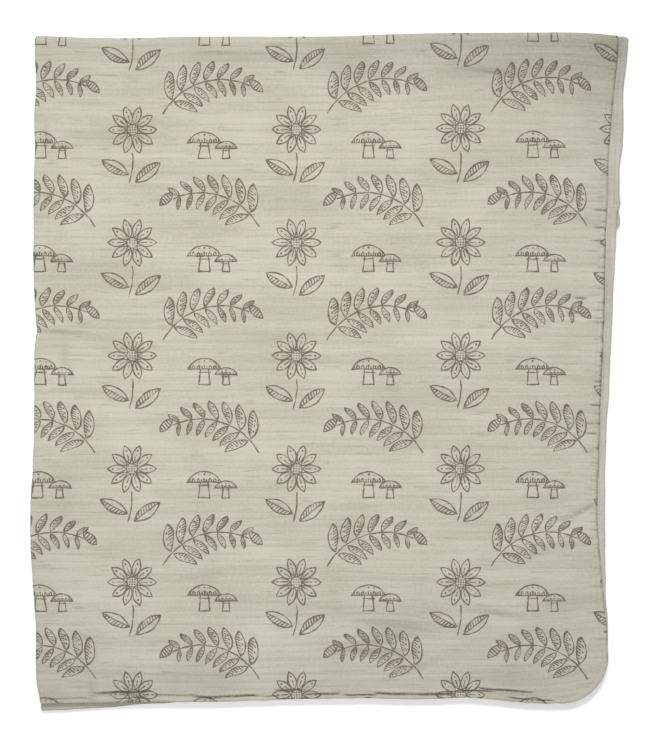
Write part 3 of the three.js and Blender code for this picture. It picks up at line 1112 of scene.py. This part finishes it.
class Shader:
    """A material's node tree, built node by node."""

    def __init__(self, name: str) -> None:
        """Make a material with an empty tree."""
        self.material = bpy.data.materials.new(name)
        self.material.use_nodes = True
        self.tree = self.material.node_tree
        self.tree.nodes.clear()

    def node(
        self,
        kind: str,
        settings: Mapping[str, Any] | None = None,
        sockets: Mapping[int | str, Value] | None = None,
    ) -> bpy.types.Node:
        """Add a node.

        Args:
            kind: The node's type.
            settings: The node's own settings, which are set first. stops are a colour ramp's.
            sockets: Values or links of its input sockets, by name or number.

        Returns:
            The new node.
        """
        made = self.tree.nodes.new(kind)
        for name, value in (settings or {}).items():
            if name == "stops":
                for number, (position, colour) in enumerate(value):
                    stops = made.color_ramp.elements
                    stop = stops[number] if number < len(stops) else stops.new(position)
                    stop.position = position
                    stop.color = colour
            else:
                setattr(made, name, value)
        for key, value in (sockets or {}).items():
            if isinstance(value, Wire):
                self.tree.links.new(value.socket, made.inputs[key])
            else:
                made.inputs[key].default_value = value
        return made

    def wire(
        self,
        kind: str,
        settings: Mapping[str, Any] | None = None,
        sockets: Mapping[int | str, Value] | None = None,
        output: int | str = 0,
    ) -> Wire:
        """Add a node and return one of its outputs.

        Args:
            kind: The node's type.
            settings: The node's own settings.
            sockets: Values or links of its input sockets.
            output: Which output to return.

        Returns:
            The output.
        """
        return Wire(self, self.node(kind, settings, sockets).outputs[output])

    def maths(self, operation: str, *values: Value) -> Wire:
        """Add a Math node, or a Vector Math node where a value is a vector.

        Args:
            operation: The node's operation.
            values: Its inputs. A number beside a vector counts for all three axes.

        Returns:
            The result.
        """
        is_vector = [isinstance(v, tuple) or (isinstance(v, Wire) and v.is_vector) for v in values]
        if not any(is_vector):
            return self.wire("ShaderNodeMath", {"operation": operation}, dict(enumerate(values)))
        if operation == "MULTIPLY" and not all(is_vector):
            vector, number = (values[0], values[1]) if is_vector[0] else (values[1], values[0])
            return self.vector_maths("SCALE", {0: vector, 3: number})
        return self.vector_maths(operation, dict(enumerate(values)))

    def vector_maths(
        self, operation: str, sockets: Mapping[int, Value], output: int | str = 0
    ) -> Wire:
        """Return an output of a new Vector Math node."""
        return self.wire("ShaderNodeVectorMath", {"operation": operation}, sockets, output)

    def distance(self, place: Wire, point: Flat) -> Wire:
        """Return the distance of a place from a fixed point."""
        return self.vector_maths("DISTANCE", {0: place, 1: (*point, 0.0)}, "Value")

    def along(self, place: Wire, direction: Flat) -> Wire:
        """Return how far a place lies along a direction."""
        return self.vector_maths("DOT_PRODUCT", {0: place, 1: (*direction, 0.0)}, "Value")

    def vector(self, x: Value, y: Value) -> Wire:
        """Return a vector of two numbers."""
        return self.wire("ShaderNodeCombineXYZ", None, {0: x, 1: y})

    def wrapped(self, value: Wire, pitch: Value) -> Wire:
        """Return a value wrapped to half a pitch either side of 0."""
        if value.is_vector:
            half = tuple(size / 2 for size in pitch)
            low = tuple(-size for size in half)
            return self.maths("WRAP", value, half, low)
        return self.maths("WRAP", value, pitch / 2, -pitch / 2)

    def map_range(
        self, value: Wire, start: float, end: float, low: float = 0, high: float = 1
    ) -> Wire:
        """Return a value's smooth step from start to end, as low to high."""
        settings = {"interpolation_type": "SMOOTHSTEP", "clamp": True}
        sockets = dict(enumerate((value, start, end, low, high)))
        return self.wire("ShaderNodeMapRange", settings, sockets)

    def noise(self, place: Wire, scale: float, detail: float = 2) -> Wire:
        """Return smooth noise from 0 to 1."""
        settings = {"noise_dimensions": "2D"}
        sockets = {"Vector": place, "Scale": scale, "Detail": detail}
        return self.wire("ShaderNodeTexNoise", settings, sockets)

    def mix_colour(self, share: Value, first: Value, second: Value, blend: str = "MIX") -> Wire:
        """Return a blend of two colours."""
        settings = {"data_type": "RGBA", "blend_type": blend}
        return self.wire("ShaderNodeMix", settings, {0: share, 6: first, 7: second}, 2)

    def finish(self, sockets: Mapping[str, Value]) -> bpy.types.Material:
        """Feed the surface shader and close the tree.

        Args:
            sockets: Values or links of the surface shader's sockets.

        Returns:
            The material.
        """
        surface = self.wire("ShaderNodeBsdfPrincipled", None, sockets)
        self.node("ShaderNodeOutputMaterial", None, {0: surface})
        return self.material


def srgb(red: float, green: float, blue: float) -> Colour:
    """Turn a screen colour into a linear one.

    Args:
        red: Red from 0 to 255.
        green: Green from 0 to 255.
        blue: Blue from 0 to 255.

    Returns:
        Linear red, green, blue and alpha.
    """
    parts = [value / 255 for value in (red, green, blue)]
    linear = [p / 12.92 if p <= 0.04045 else ((p + 0.055) / 1.055) ** 2.4 for p in parts]
    return (linear[0], linear[1], linear[2], 1.0)


@dataclass(frozen=True)
class BotanicalPrint:
    """A half-drop print of line-drawn fern sprigs, daisies and toadstools, in millimetres."""

    repeat_width: float = 148
    repeat_height: float = 102
    line: float = 1.1
    hand_wobble: float = 1.1
    start: Flat = (12, -47)

    def ink(self, shader: Shader, cloth: Wire) -> Wire:
        """Draw the print.

        Args:
            shader: The material's tree.
            cloth: Places on the open cloth, in metres.

        Returns:
            The ink's strength, from 0 to 1.
        """
        settings = {"noise_dimensions": "2D"}
        sockets = {"Vector": cloth, "Scale": 1 / (9 * MM), "Detail": 1.0}
        wobble = shader.wire("ShaderNodeTexNoise", settings, sockets, "Color")
        moved = shader.vector_maths("SUBTRACT", {0: wobble, 1: (0.5, 0.5, 0.5)})
        place = cloth * (1 / MM) - (*self.start, 0.0) + moved * self.hand_wobble
        repeat = (self.repeat_width, self.repeat_height, 2.0)
        fern_place = shader.wrapped(place, repeat)
        row = shader.along(place - fern_place, (0, 1 / self.repeat_height))
        odd = shader.maths("MODULO", abs(shader.maths("ROUND", row)), 2.0)
        mirror = 1 - 2 * odd
        fern_place = shader.vector(fern_place.x * mirror, fern_place.y)
        drawn = self._fern(fern_place)
        half_drop = (self.repeat_width / 2, self.repeat_height / 2, 0.0)
        daisy_place = shader.wrapped(place - half_drop, repeat)
        drawn = self._daisy(daisy_place, drawn)
        stool_place = shader.wrapped(place - (0.0, self.repeat_height / 2, 0.0), repeat)
        for middle, size in (((-6.0, 0.5), 1.0), ((13.5, -4.0), 0.66)):
            drawn = self._toadstool(stool_place, middle, size, drawn)
        pressure = shader.noise(cloth, 1 / (8 * MM), 1)
        soft = 0.35
        return shader.map_range(drawn + 0.9 * (pressure - 0.55), soft, -soft)

    def _outline(self, distance: Wire) -> Wire:
        """Return the distance from a line drawn round a form."""
        return abs(distance) - self.line / 2

    def _lens(self, place: Wire, middle: Flat, turn: float, half: Flat) -> tuple[Wire, Wire]:
        """Work out the distance from a leaf-shaped form.

        Args:
            place: Places in millimetres.
            middle: The leaf's middle.
            turn: The leaf's direction, in degrees.
            half: Half its length and half its width.

        Returns:
            The distance, and places in the leaf's own directions.
        """
        shader = place.shader
        turned = math.radians(turn)
        local = place - (*middle, 0.0)
        along = shader.along(local, (math.cos(turned), math.sin(turned)))
        aside = shader.along(local, (-math.sin(turned), math.cos(turned)))
        own = shader.vector(along, aside)
        bulge = (half[0] ** 2 + half[1] ** 2) / (2 * half[1])
        distance = shader.distance(shader.maths("ABSOLUTE", own), (0, half[1] - bulge)) - bulge
        return distance, own

    def _fern(self, place: Wire) -> Wire:
        """Draw an arched fern sprig.

        Args:
            place: Places from the sprig's middle.

        Returns:
            The distance from its lines.
        """
        shader = place.shader
        arch_middle, arch_radius, mid_angle = (9.0, -52.0), 60.0, math.radians(104)
        leaflet_pitch, leaflets, lean = 11.5, 3, 0.55
        from_arch = place - (*arch_middle, 0.0)
        angle = shader.maths("ARCTAN2", from_arch.y, from_arch.x)
        along = (mid_angle - angle) * arch_radius
        aside = abs(shader.distance(place, arch_middle) - arch_radius)
        leaning = along - aside * lean
        number = shader.maths("ROUND", leaning / leaflet_pitch)
        number = (number & -leaflets) | leaflets
        size = 0.84 - 0.1 * number
        own_along = aside / size - 10.5
        own = shader.vector(own_along, (leaning - number * leaflet_pitch) / size)
        half_length, half_width = 9.0, 4.1
        bulge = (half_length**2 + half_width**2) / (2 * half_width)
        folded = shader.maths("ABSOLUTE", own)
        leaflet = (shader.distance(folded, (0, half_width - bulge)) - bulge) * size
        drawn = self._outline(leaflet)
        across_leaflet = own.y
        dots = shader.vector(shader.wrapped(own_along, 3.6), across_leaflet + 1.1)
        dots = shader.distance(dots, (0, 0)) * size - 0.75
        drawn |= dots & (leaflet + 1.0)
        hatch = (abs(shader.wrapped(own_along, 1.9)) - 0.42) & (0.2 - across_leaflet)
        drawn |= (hatch * size) & leaflet
        drawn |= (aside - self.line / 2) & (abs(along + 4) - 45)
        bud, own_bud = self._lens(place, (40.5, 2.5), -44, (8.0, 3.6))
        stripes = abs(shader.wrapped(own_bud.x, 2.6)) - 0.55
        return drawn | (self._outline(bud) | (stripes & bud))

    def _toadstool(self, place: Wire, middle: Flat, size: float, drawn: Wire) -> Wire:
        """Draw a toadstool with a dotted cap.

        Args:
            place: Places in millimetres.
            middle: The toadstool's middle.
            size: Its size, 1 for a height of 26 mm.
            drawn: The distance from what is drawn so far.

        Returns:
            The distance from all lines.
        """
        shader = place.shader
        own = (place - (*middle, 0.0)) * (1 / size)
        up = own.y
        aside = abs(own.x)
        cap = ((shader.distance(own, (0, -5.5)) - 16.5) & (1.5 - up)) * size
        drawn |= self._outline(cap)
        spots = shader.distance(shader.wrapped(own, (5.0, 4.4, 2.0)), (0, 0)) * size - 0.85
        drawn |= spots & (cap + 1.6)
        gills = (abs(shader.wrapped(own.x, 2.1)) - 0.5) & (up - 4.2)
        drawn |= (gills * size) & cap
        stem = ((aside - 3.6 + 0.12 * up) & (abs(up + 5.5) - 7.0)) * size
        drawn |= self._outline(stem)
        return drawn | ((abs(up + 1.4) - 0.5) & (aside - 5.4)) * size

    def _daisy(self, place: Wire, drawn: Wire) -> Wire:
        """Draw a daisy on its stalk.

        Args:
            place: Places from the flower's middle.
            drawn: The distance from what is drawn so far.

        Returns:
            The distance from all lines.
        """
        shader = place.shader
        head, petals = (3.0, 14.0), 10
        from_head = place - (*head, 0.0)
        angle = shader.maths("ARCTAN2", from_head.y, from_head.x)
        own_angle = shader.wrapped(angle, 2 * math.pi / petals)
        out = shader.distance(place, head)
        petal_place = shader.vector(
            out * shader.maths("COSINE", own_angle), out * shader.maths("SINE", own_angle)
        )
        petal, own = self._lens(petal_place, (13.6, 0.0), 0, (8.2, 3.5))
        drawn |= self._outline(petal)
        drawn |= shader.distance(own, (3.4, 0)) - 0.8
        drawn |= (abs(own.y) - 0.4) & (shader.distance(own, (-3, 0)) - 3)
        drawn |= self._outline(out - 4.9)
        seeds = shader.distance(shader.wrapped(from_head, (2.3, 2.3, 2.0)), (0, 0)) - 0.68
        drawn |= seeds & (out - 4.4)
        stalk = abs(shader.distance(place, (-50.0, -14.0)) - 53.5) - self.line / 2
        stalk = stalk & (abs(place.y + 21.5) - 14.5)
        drawn |= stalk & -place.x
        leaves = ((-12.5, -20.0), 152, (13.5, 5.2)), ((17.0, -24.5), 38, (14.0, 5.4))
        for middle, turn, half in leaves:
            leaf, own = self._lens(place, middle, turn, half)
            drawn |= self._outline(leaf)
            drawn |= (abs(own.y) - 0.45) & leaf
            slant = shader.along(own, (1.0, -0.5))
            drawn |= ((abs(shader.wrapped(slant, 2.9)) - 0.5) & leaf) & -own.y
        return drawn


@dataclass(frozen=True)
class GauzeCotton:
    """Crinkled cotton gauze: its ground colour, with a print or without."""

    name: str
    ground: Colour
    shade: Colour
    ink_colour: Colour = (0.0, 0.0, 0.0, 1.0)
    # The dark colour that painted shade in creases, puckers, rims and beside the folds is mixed
    # towards
    painted_shade_colour: Colour = (0.09, 0.08, 0.06, 1.0)
    design: BotanicalPrint | None = None
    roughness: float = 0.92
    weave_pitch: float = 1.1
    row_pitch: float = 6.35
    hem_lines: float = 0.0

    @staticmethod
    def _streaks(shader: Shader, place: Wire, across: float, down: float, detail: float) -> Wire:
        """Return noise from 0 to 1 that is stretched to these millimetres across and down."""
        return shader.noise(place * (1 / (across * MM), 1 / (down * MM), 0.0), 1.0, detail)

    def material(self) -> bpy.types.Material:
        """Build the material.

        Returns:
            The material, on the piece's cloth map and its map of the gauze's rows.
        """
        shader = Shader(self.name)
        cloth = shader.wire("ShaderNodeUVMap", {"uv_map": "Cloth"})
        rows = shader.wire("ShaderNodeUVMap", {"uv_map": "Rows"})
        crinkled, shaded, beside_hem, inked = (
            shader.wire("ShaderNodeAttribute", {"attribute_name": name}, None, "Fac")
            for name in ("Crinkled", "Shade", "Beside hem", "Inked")
        )
        crinkle = self._streaks(shader, rows, 70, 1.5, 2)
        long_crinkle = self._streaks(shader, rows, 160, 4.6, 2)
        band = self._streaks(shader, rows, 150, 13, 1)
        slubs = shader.noise(cloth, 1 / (2.4 * MM), 2)
        patches = shader.noise(cloth, 1 / (60 * MM), 3)
        thin = shader.map_range(self._streaks(shader, rows, 26, 2.1, 0), 0.72, 0.86) * crinkled
        ticks = shader.map_range(self._streaks(shader, rows, 9, 1.5, 0), 0.62, 0.76) * beside_hem
        turn = 2 * math.pi / (self.weave_pitch * MM)
        warp = shader.maths("SINE", shader.along(cloth, (turn, 0)))
        weft = shader.maths("SINE", shader.along(cloth, (0, turn)))
        weave = warp * weft
        wave = shader.maths("COSINE", shader.along(rows, (0, 2 * math.pi / (self.row_pitch * MM))))
        valley = shader.map_range(wave, -0.1, -1.0) * shader.map_range(patches, 0.35, 0.6, 0.25, 1)
        # crinkle and long_crinkle follow the bump's crinkles, lighter where it rises: painted
        # shade of the crinkles. valley is painted shade in the rows' valleys and thin is painted
        # shade in fine creases; patches and slubs are the yarn's own uneven tone
        streaks = 0.27 * (crinkle - 0.5) + 0.24 * (long_crinkle - 0.5) + 0.3 * (band - 0.5)
        even = 0.46 * (patches - 0.5) + 0.3 * (slubs - 0.5) + 0.05 * weave
        tone = 0.55 + crinkled * (streaks - 0.09 * valley) + even - 0.24 * thin
        if self.hem_lines:
            tone = tone + self.hem_lines * (self._streaks(shader, cloth, 2.2, 60, 1) - 0.5)
        colour = shader.mix_colour(shader.map_range(tone, 0.22, 0.78), self.shade, self.ground)
        if self.design:
            wear = shader.noise(cloth, 1 / (2.2 * MM), 2)
            worn = shader.map_range(wear, 0.15, 0.75, 0.72, 1)
            ink = self.design.ink(shader, cloth) * worn * inked
            colour = shader.mix_colour(ink, colour, self.ink_colour)
        # Painted shade: the Shade attribute and the ticks beside the hem darken the colour towards
        # the painted shade colour
        uneven = shader.map_range(shader.noise(cloth, 1 / (2.8 * MM), 1), 0.25, 0.55, 0.72, 1)
        dark = 0.9 * (shaded * uneven)
        if self.design:
            dark = shader.maths("MAXIMUM", dark, 0.26 * ticks)
        colour = shader.mix_colour(dark, colour, self.painted_shade_colour)
        height = crinkled * (0.34 * crinkle + 0.32 * long_crinkle) + 0.2 * slubs + 0.06 * weave
        height = height - 0.35 * thin - 0.3 * ticks - 0.12 * (valley * crinkled)
        sockets = {"Strength": 0.55, "Distance": 0.45 * MM, "Height": height}
        bump = shader.wire("ShaderNodeBump", None, sockets, "Normal")
        return shader.finish(
            {
                "Base Color": colour,
                "Roughness": self.roughness,
                "Specular IOR Level": 0.25,
                "Sheen Weight": 0.15,
                "Sheen Roughness": 0.6,
                "Normal": bump,
            }
        )


@dataclass
class Topstitching:
    """Rows of stitches beside the hems, made by a node tree that follows seam lines."""

    pack: FoldedPack
    relief: GauzeRelief
    pitch: float = 3.6
    length: float = 2.7
    thread: float = 0.42
    seed: int = 5
    steps: int = 700
    seam_rounds: int = 8
    thread_lift: float = 0.1
    hem_end: float = 3

    def _seam(self, leaf: Leaf, ply: Ply) -> Array:
        """Work out the seam line on one leaf.

        Args:
            leaf: The leaf.
            ply: The ply that faces out there.

        Returns:
            Points of the seam, in metres.
        """
        pack, inset = self.pack, self.relief.seam_distance
        inner = pack.corner_radius - inset
        side_run = pack.leaf_length - pack.corner_radius
        bottom_run = pack.leaf_width - pack.corner_radius
        arc_run = QUARTER * inner
        run = np.linspace(self.hem_end, side_run + arc_run + bottom_run - self.hem_end, self.steps)
        angle = np.clip((run - side_run) / inner, 0, QUARTER)
        past = np.maximum(run - side_run - arc_run, 0)
        from_side = pack.corner_radius - inner * np.cos(angle) + past
        from_bottom = pack.corner_radius - inner * np.sin(angle) + np.maximum(side_run - run, 0)
        column = Stations.on_leaf(leaf.value[0], 1 - from_side / pack.leaf_width)
        row = Stations.on_leaf(leaf.value[1], 1 - from_bottom / pack.leaf_length)
        at = Places(column, row)
        for _ in range(self.seam_rounds):
            _, side, bottom = pack.hem_distance(at)
            column.share = np.clip(column.share + (side - from_side) / pack.leaf_width, 0, 1)
            row.share = np.clip(row.share + (bottom - from_bottom) / pack.leaf_length, 0, 1)
        offset = self.relief.face(pack, ply, at)[0]
        return pack.place(at, offset + ply.value * self.thread * self.thread_lift) * MM

    def _tree(self) -> bpy.types.NodeTree:
        """Build the node tree that sets stitches along curves.

        Returns:
            The tree, with its sizes as named inputs.
        """
        tree = bpy.data.node_groups.new("Stitch rows", "GeometryNodeTree")
        wanted = (
            ("Seams", "NodeSocketGeometry"),
            ("Pitch", "NodeSocketFloat"),
            ("Stitch length", "NodeSocketFloat"),
            ("Thread thickness", "NodeSocketFloat"),
            ("Seed", "NodeSocketInt"),
            ("Thread", "NodeSocketMaterial"),
        )
        for name, kind in wanted:
            tree.interface.new_socket(name, in_out="INPUT", socket_type=kind)
        tree.interface.new_socket("Stitches", in_out="OUTPUT", socket_type="NodeSocketGeometry")
        given = tree.nodes.new("NodeGroupInput").outputs
        result = tree.nodes.new("NodeGroupOutput").inputs

        def add(kind: str, inputs: Mapping[str | int, Any], **settings: Any) -> bpy.types.Node:
            """Add a node with its settings and its inputs' values or links."""
            node = tree.nodes.new(kind)
            for key, value in settings.items():
                setattr(node, key, value)
            for key, value in inputs.items():
                if isinstance(value, bpy.types.NodeSocket):
                    tree.links.new(value, node.inputs[key])
                else:
                    node.inputs[key].default_value = value
            return node

        curve = add("GeometryNodeMeshToCurve", {"Mesh": given["Seams"]})
        points = add(
            "GeometryNodeResampleCurve",
            {"Curve": curve.outputs[0], "Length": given["Pitch"]},
            mode="LENGTH",
        )
        ball = add("GeometryNodeMeshUVSphere", {"Segments": 6, "Rings": 5, "Radius": 0.5})
        thick = given["Thread thickness"]
        size = add("ShaderNodeCombineXYZ", {0: given["Stitch length"], 1: thick, 2: thick})
        tangent = add("GeometryNodeInputTangent", {})
        turn = add("FunctionNodeAlignRotationToVector", {"Vector": tangent.outputs[0]}, axis="X")
        vary = add(
            "FunctionNodeRandomValue",
            {2: 0.82, 3: 1.12, "Seed": given["Seed"]},
            data_type="FLOAT",
        )
        sizes = {0: size.outputs[0], 3: vary.outputs[1]}
        scale = add("ShaderNodeVectorMath", sizes, operation="SCALE")
        stitches = add(
            "GeometryNodeInstanceOnPoints",
            {
                "Points": points.outputs[0],
                "Instance": ball.outputs[0],
                "Rotation": turn.outputs[0],
                "Scale": scale.outputs[0],
            },
        )
        real = add("GeometryNodeRealizeInstances", {0: stitches.outputs[0]})
        shaded = add("GeometryNodeSetShadeSmooth", {0: real.outputs[0]})
        worn = add("GeometryNodeSetMaterial", {0: shaded.outputs[0], "Material": given["Thread"]})
        tree.links.new(worn.outputs[0], result[0])
        return tree

    def build(self, thread: bpy.types.Material) -> bpy.types.Object:
        """Build the stitches.

        Args:
            thread: The thread's material.

        Returns:
            One object that holds every stitch.
        """
        seams = [self._seam(Leaf.UPPER, Ply.PRINTED), self._seam(Leaf.SECOND, Ply.PLAIN)]
        points = np.concatenate(seams)
        edges = []
        start = 0
        for seam in seams:
            edges += [(start + n, start + n + 1) for n in range(len(seam) - 1)]
            start += len(seam)
        mesh = bpy.data.meshes.new("seam_lines")
        mesh.from_pydata(points.tolist(), edges, [])
        lines = add_object("seam_lines", mesh)
        tree = self._tree()
        modifier = lines.modifiers.new("Stitch rows", "NODES")
        modifier.node_group = tree
        values = {
            "Pitch": self.pitch * MM,
            "Stitch length": self.length * MM,
            "Thread thickness": self.thread * MM,
            "Seed": self.seed,
            "Thread": thread,
        }
        for item in tree.interface.items_tree:
            if item.item_type == "SOCKET" and item.in_out == "INPUT" and item.name in values:
                modifier[item.identifier] = values[item.name]
        evaluated = lines.evaluated_get(bpy.context.evaluated_depsgraph_get())
        made = bpy.data.meshes.new_from_object(evaluated)
        lines.modifiers.remove(modifier)
        bpy.data.objects.remove(lines)
        made.name = "topstitching"
        return add_object("topstitching", made)


@dataclass(frozen=True)
class ThreadFinish:
    """Matt cotton sewing thread."""

    colour: Colour
    roughness: float = 0.8

    def material(self) -> bpy.types.Material:
        """Build the material.

        Returns:
            The material, with a fine twist on object coordinates.
        """
        shader = Shader("Cotton thread")
        place = shader.wire("ShaderNodeTexCoord", None, None, "Object")
        twist = shader.wire(
            "ShaderNodeTexNoise", None, {"Vector": place, "Scale": 1 / (0.4 * MM), "Detail": 1.0}
        )
        dark = tuple(0.75 * part for part in self.colour[:3]) + (1.0,)
        colour = shader.mix_colour(twist, dark, self.colour)
        return shader.finish({"Base Color": colour, "Roughness": self.roughness})


@dataclass
class Studio:
    """The pale floor, the soft light from the top left and the camera straight above."""

    frame_width_px: int = 645
    frame_height_px: int = 742
    mm_per_px: float = 0.9015
    fold_corner_px: Flat = (33.4, 35.4)
    camera_height: float = 1.9
    floor_side: float = 9.0
    floor_colour: Colour = (0.97, 0.97, 0.97, 1.0)
    floor_glow: float = 0.16
    sensor: float = 36
    key_place: Point = (-0.05, 1.6, 2.4)
    key_side: float = 0.6
    key_power: float = 50
    key_colour: Point = (1.0, 0.985, 0.96)
    spot_place: Point = (-0.1, -0.03, 2.3)
    spot_power: float = 84
    spot_angle: float = 38
    spot_softness: float = 0.35
    sky_colour: Colour = (0.95, 0.96, 1.0, 1.0)
    sky_strength: float = 0.37

    def build(self, pack: FoldedPack) -> None:
        """Build the floor, lights and camera.

        Args:
            pack: The folded cloth, which the camera's frame is set by.
        """
        self._floor()
        self._world()
        self._lights()
        self._camera(pack)

    def _floor(self) -> None:
        """Build the floor, just under what lies on it."""
        half = self.floor_side / 2
        mesh = bpy.data.meshes.new("floor")
        corners = [(-half, -half, 0), (half, -half, 0), (half, half, 0), (-half, half, 0)]
        mesh.from_pydata(corners, [], [(0, 1, 2, 3)])
        floor = add_object("floor", mesh)
        shader = Shader("Pale floor")
        white = (1.0, 1.0, 1.0, 1.0)
        glow = {"Emission Color": white, "Emission Strength": self.floor_glow}
        material = shader.finish({"Base Color": self.floor_colour, "Roughness": 0.9, **glow})
        mesh.materials.append(material)

    def _world(self) -> None:
        """Set an even pale sky."""
        world = bpy.data.worlds.new("Studio")
        world.use_nodes = True
        sky = world.node_tree.nodes["Background"]
        sky.inputs["Color"].default_value = self.sky_colour
        sky.inputs["Strength"].default_value = self.sky_strength
        bpy.context.scene.world = world
        bpy.context.scene.view_settings.view_transform = "Standard"

    def _lights(self) -> None:
        """Add the key light from the top left and the soft-edged spot light over the blanket."""
        key = bpy.data.lights.new("key", "AREA")
        key.size = self.key_side
        key.energy = self.key_power
        key.color = self.key_colour
        spot = bpy.data.lights.new("soft spot", "SPOT")
        spot.energy = self.spot_power
        spot.spot_size = math.radians(self.spot_angle)
        spot.spot_blend = 1.0
        spot.shadow_soft_size = self.spot_softness
        over = self.spot_place[:2]
        for light, place, target in (
            (key, self.key_place, (0.0, 0.0, 0.0)),
            (spot, self.spot_place, (*over, 0.0)),
        ):
            lamp = add_object(light.name, light)
            lamp.location = place
            aim = lamp.location.copy()
            aim[:] = [end - start for start, end in zip(place, target)]
            lamp.rotation_euler = aim.to_track_quat("-Z", "Y").to_euler()

    def _camera(self, pack: FoldedPack) -> None:
        """Add the camera, with the photograph's frame at the height of the upper leaf.

        Args:
            pack: The folded cloth.
        """
        middle = (self.frame_width_px / 2, self.frame_height_px / 2)
        across = (middle[0] - self.fold_corner_px[0]) * self.mm_per_px + pack.shift[0]
        up = -(middle[1] - self.fold_corner_px[1]) * self.mm_per_px + pack.shift[1]
        seen_height = self.frame_height_px * self.mm_per_px * MM
        data = bpy.data.cameras.new("camera")
        data.sensor_width = self.sensor
        data.lens = self.sensor * self.camera_height / seen_height
        camera = add_object("camera", data)
        camera.location = (across * MM, up * MM, self.camera_height + pack.height * MM)
        bpy.context.scene.camera = camera


@dataclass
class Blanket:
    """The folded blanket: its printed panel, its plain panel and its stitches."""

    pack: FoldedPack
    open_size: Flat = (1.035, 1.2)

    def build(self) -> None:
        """Build every piece and attach it to the root body."""
        relief = GauzeRelief()
        ground, shade = srgb(194, 190, 175), srgb(172, 168, 152)
        printed = GauzeCotton(
            "Printed gauze", ground, shade, srgb(92, 84, 69), design=BotanicalPrint()
        )
        plain = GauzeCotton("Plain gauze", srgb(192, 187, 176), srgb(174, 169, 157), hem_lines=0.4)
        front = ClothPly(
            self.pack,
            relief,
            Ply.PRINTED,
            "front_panel_cloth",
            width_above=Spacing(5.7, (0, 1.5, 4, 8), SIDE_RIM),
            width_below=Spacing(40, (0, 4, 12), PLAIN_RIM),
            length_above=Spacing(1.2, (0, 0.6), BOTTOM_RIM, self.pack.pucker_rows()),
            length_below=Spacing(16, (0, 4, 12), ROUND_RIM, self.pack.bump_rows()),
            main_leaf=Leaf.UPPER,
        )
        back = ClothPly(
            self.pack,
            GauzeRelief(seed=23),
            Ply.PLAIN,
            "back_panel_cloth",
            width_above=Spacing(14, (0, 4, 12), PLAIN_RIM),
            width_below=Spacing(9, (0, 4, 12), SIDE_RIM),
            length_above=Spacing(2.4, (0, 1), BOTTOM_RIM),
            length_below=Spacing(16, (0, 4, 12), ROUND_RIM, self.pack.bump_rows()),
            main_leaf=Leaf.SECOND,
            hidden_steps=(1, 3),
        )
        thread = ThreadFinish(srgb(206, 201, 188)).material()
        stitches = Topstitching(self.pack, relief).build(thread)
        for ply, finish, node, slot in (
            (front, printed, "front_panel", "printed_cotton"),
            (back, plain, "back_panel", "plain_cotton"),
        ):
            piece = ply.build()
            piece.data.materials.append(finish.material())
            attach(piece, "root")
            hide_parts(node)
            LOG.info("%s: %d faces", piece.name, len(piece.data.polygons))
        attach(stitches, "root")
        LOG.info("%s: %d faces", stitches.name, len(stitches.data.polygons))


def main() -> None:
    """Build the blanket and its studio."""
    logging.basicConfig(level=logging.INFO, format="%(name)s %(message)s")
    pack = FoldedPack()
    Blanket(pack).build()
    Studio().build(pack)


if __name__ == "__main__":
    main()
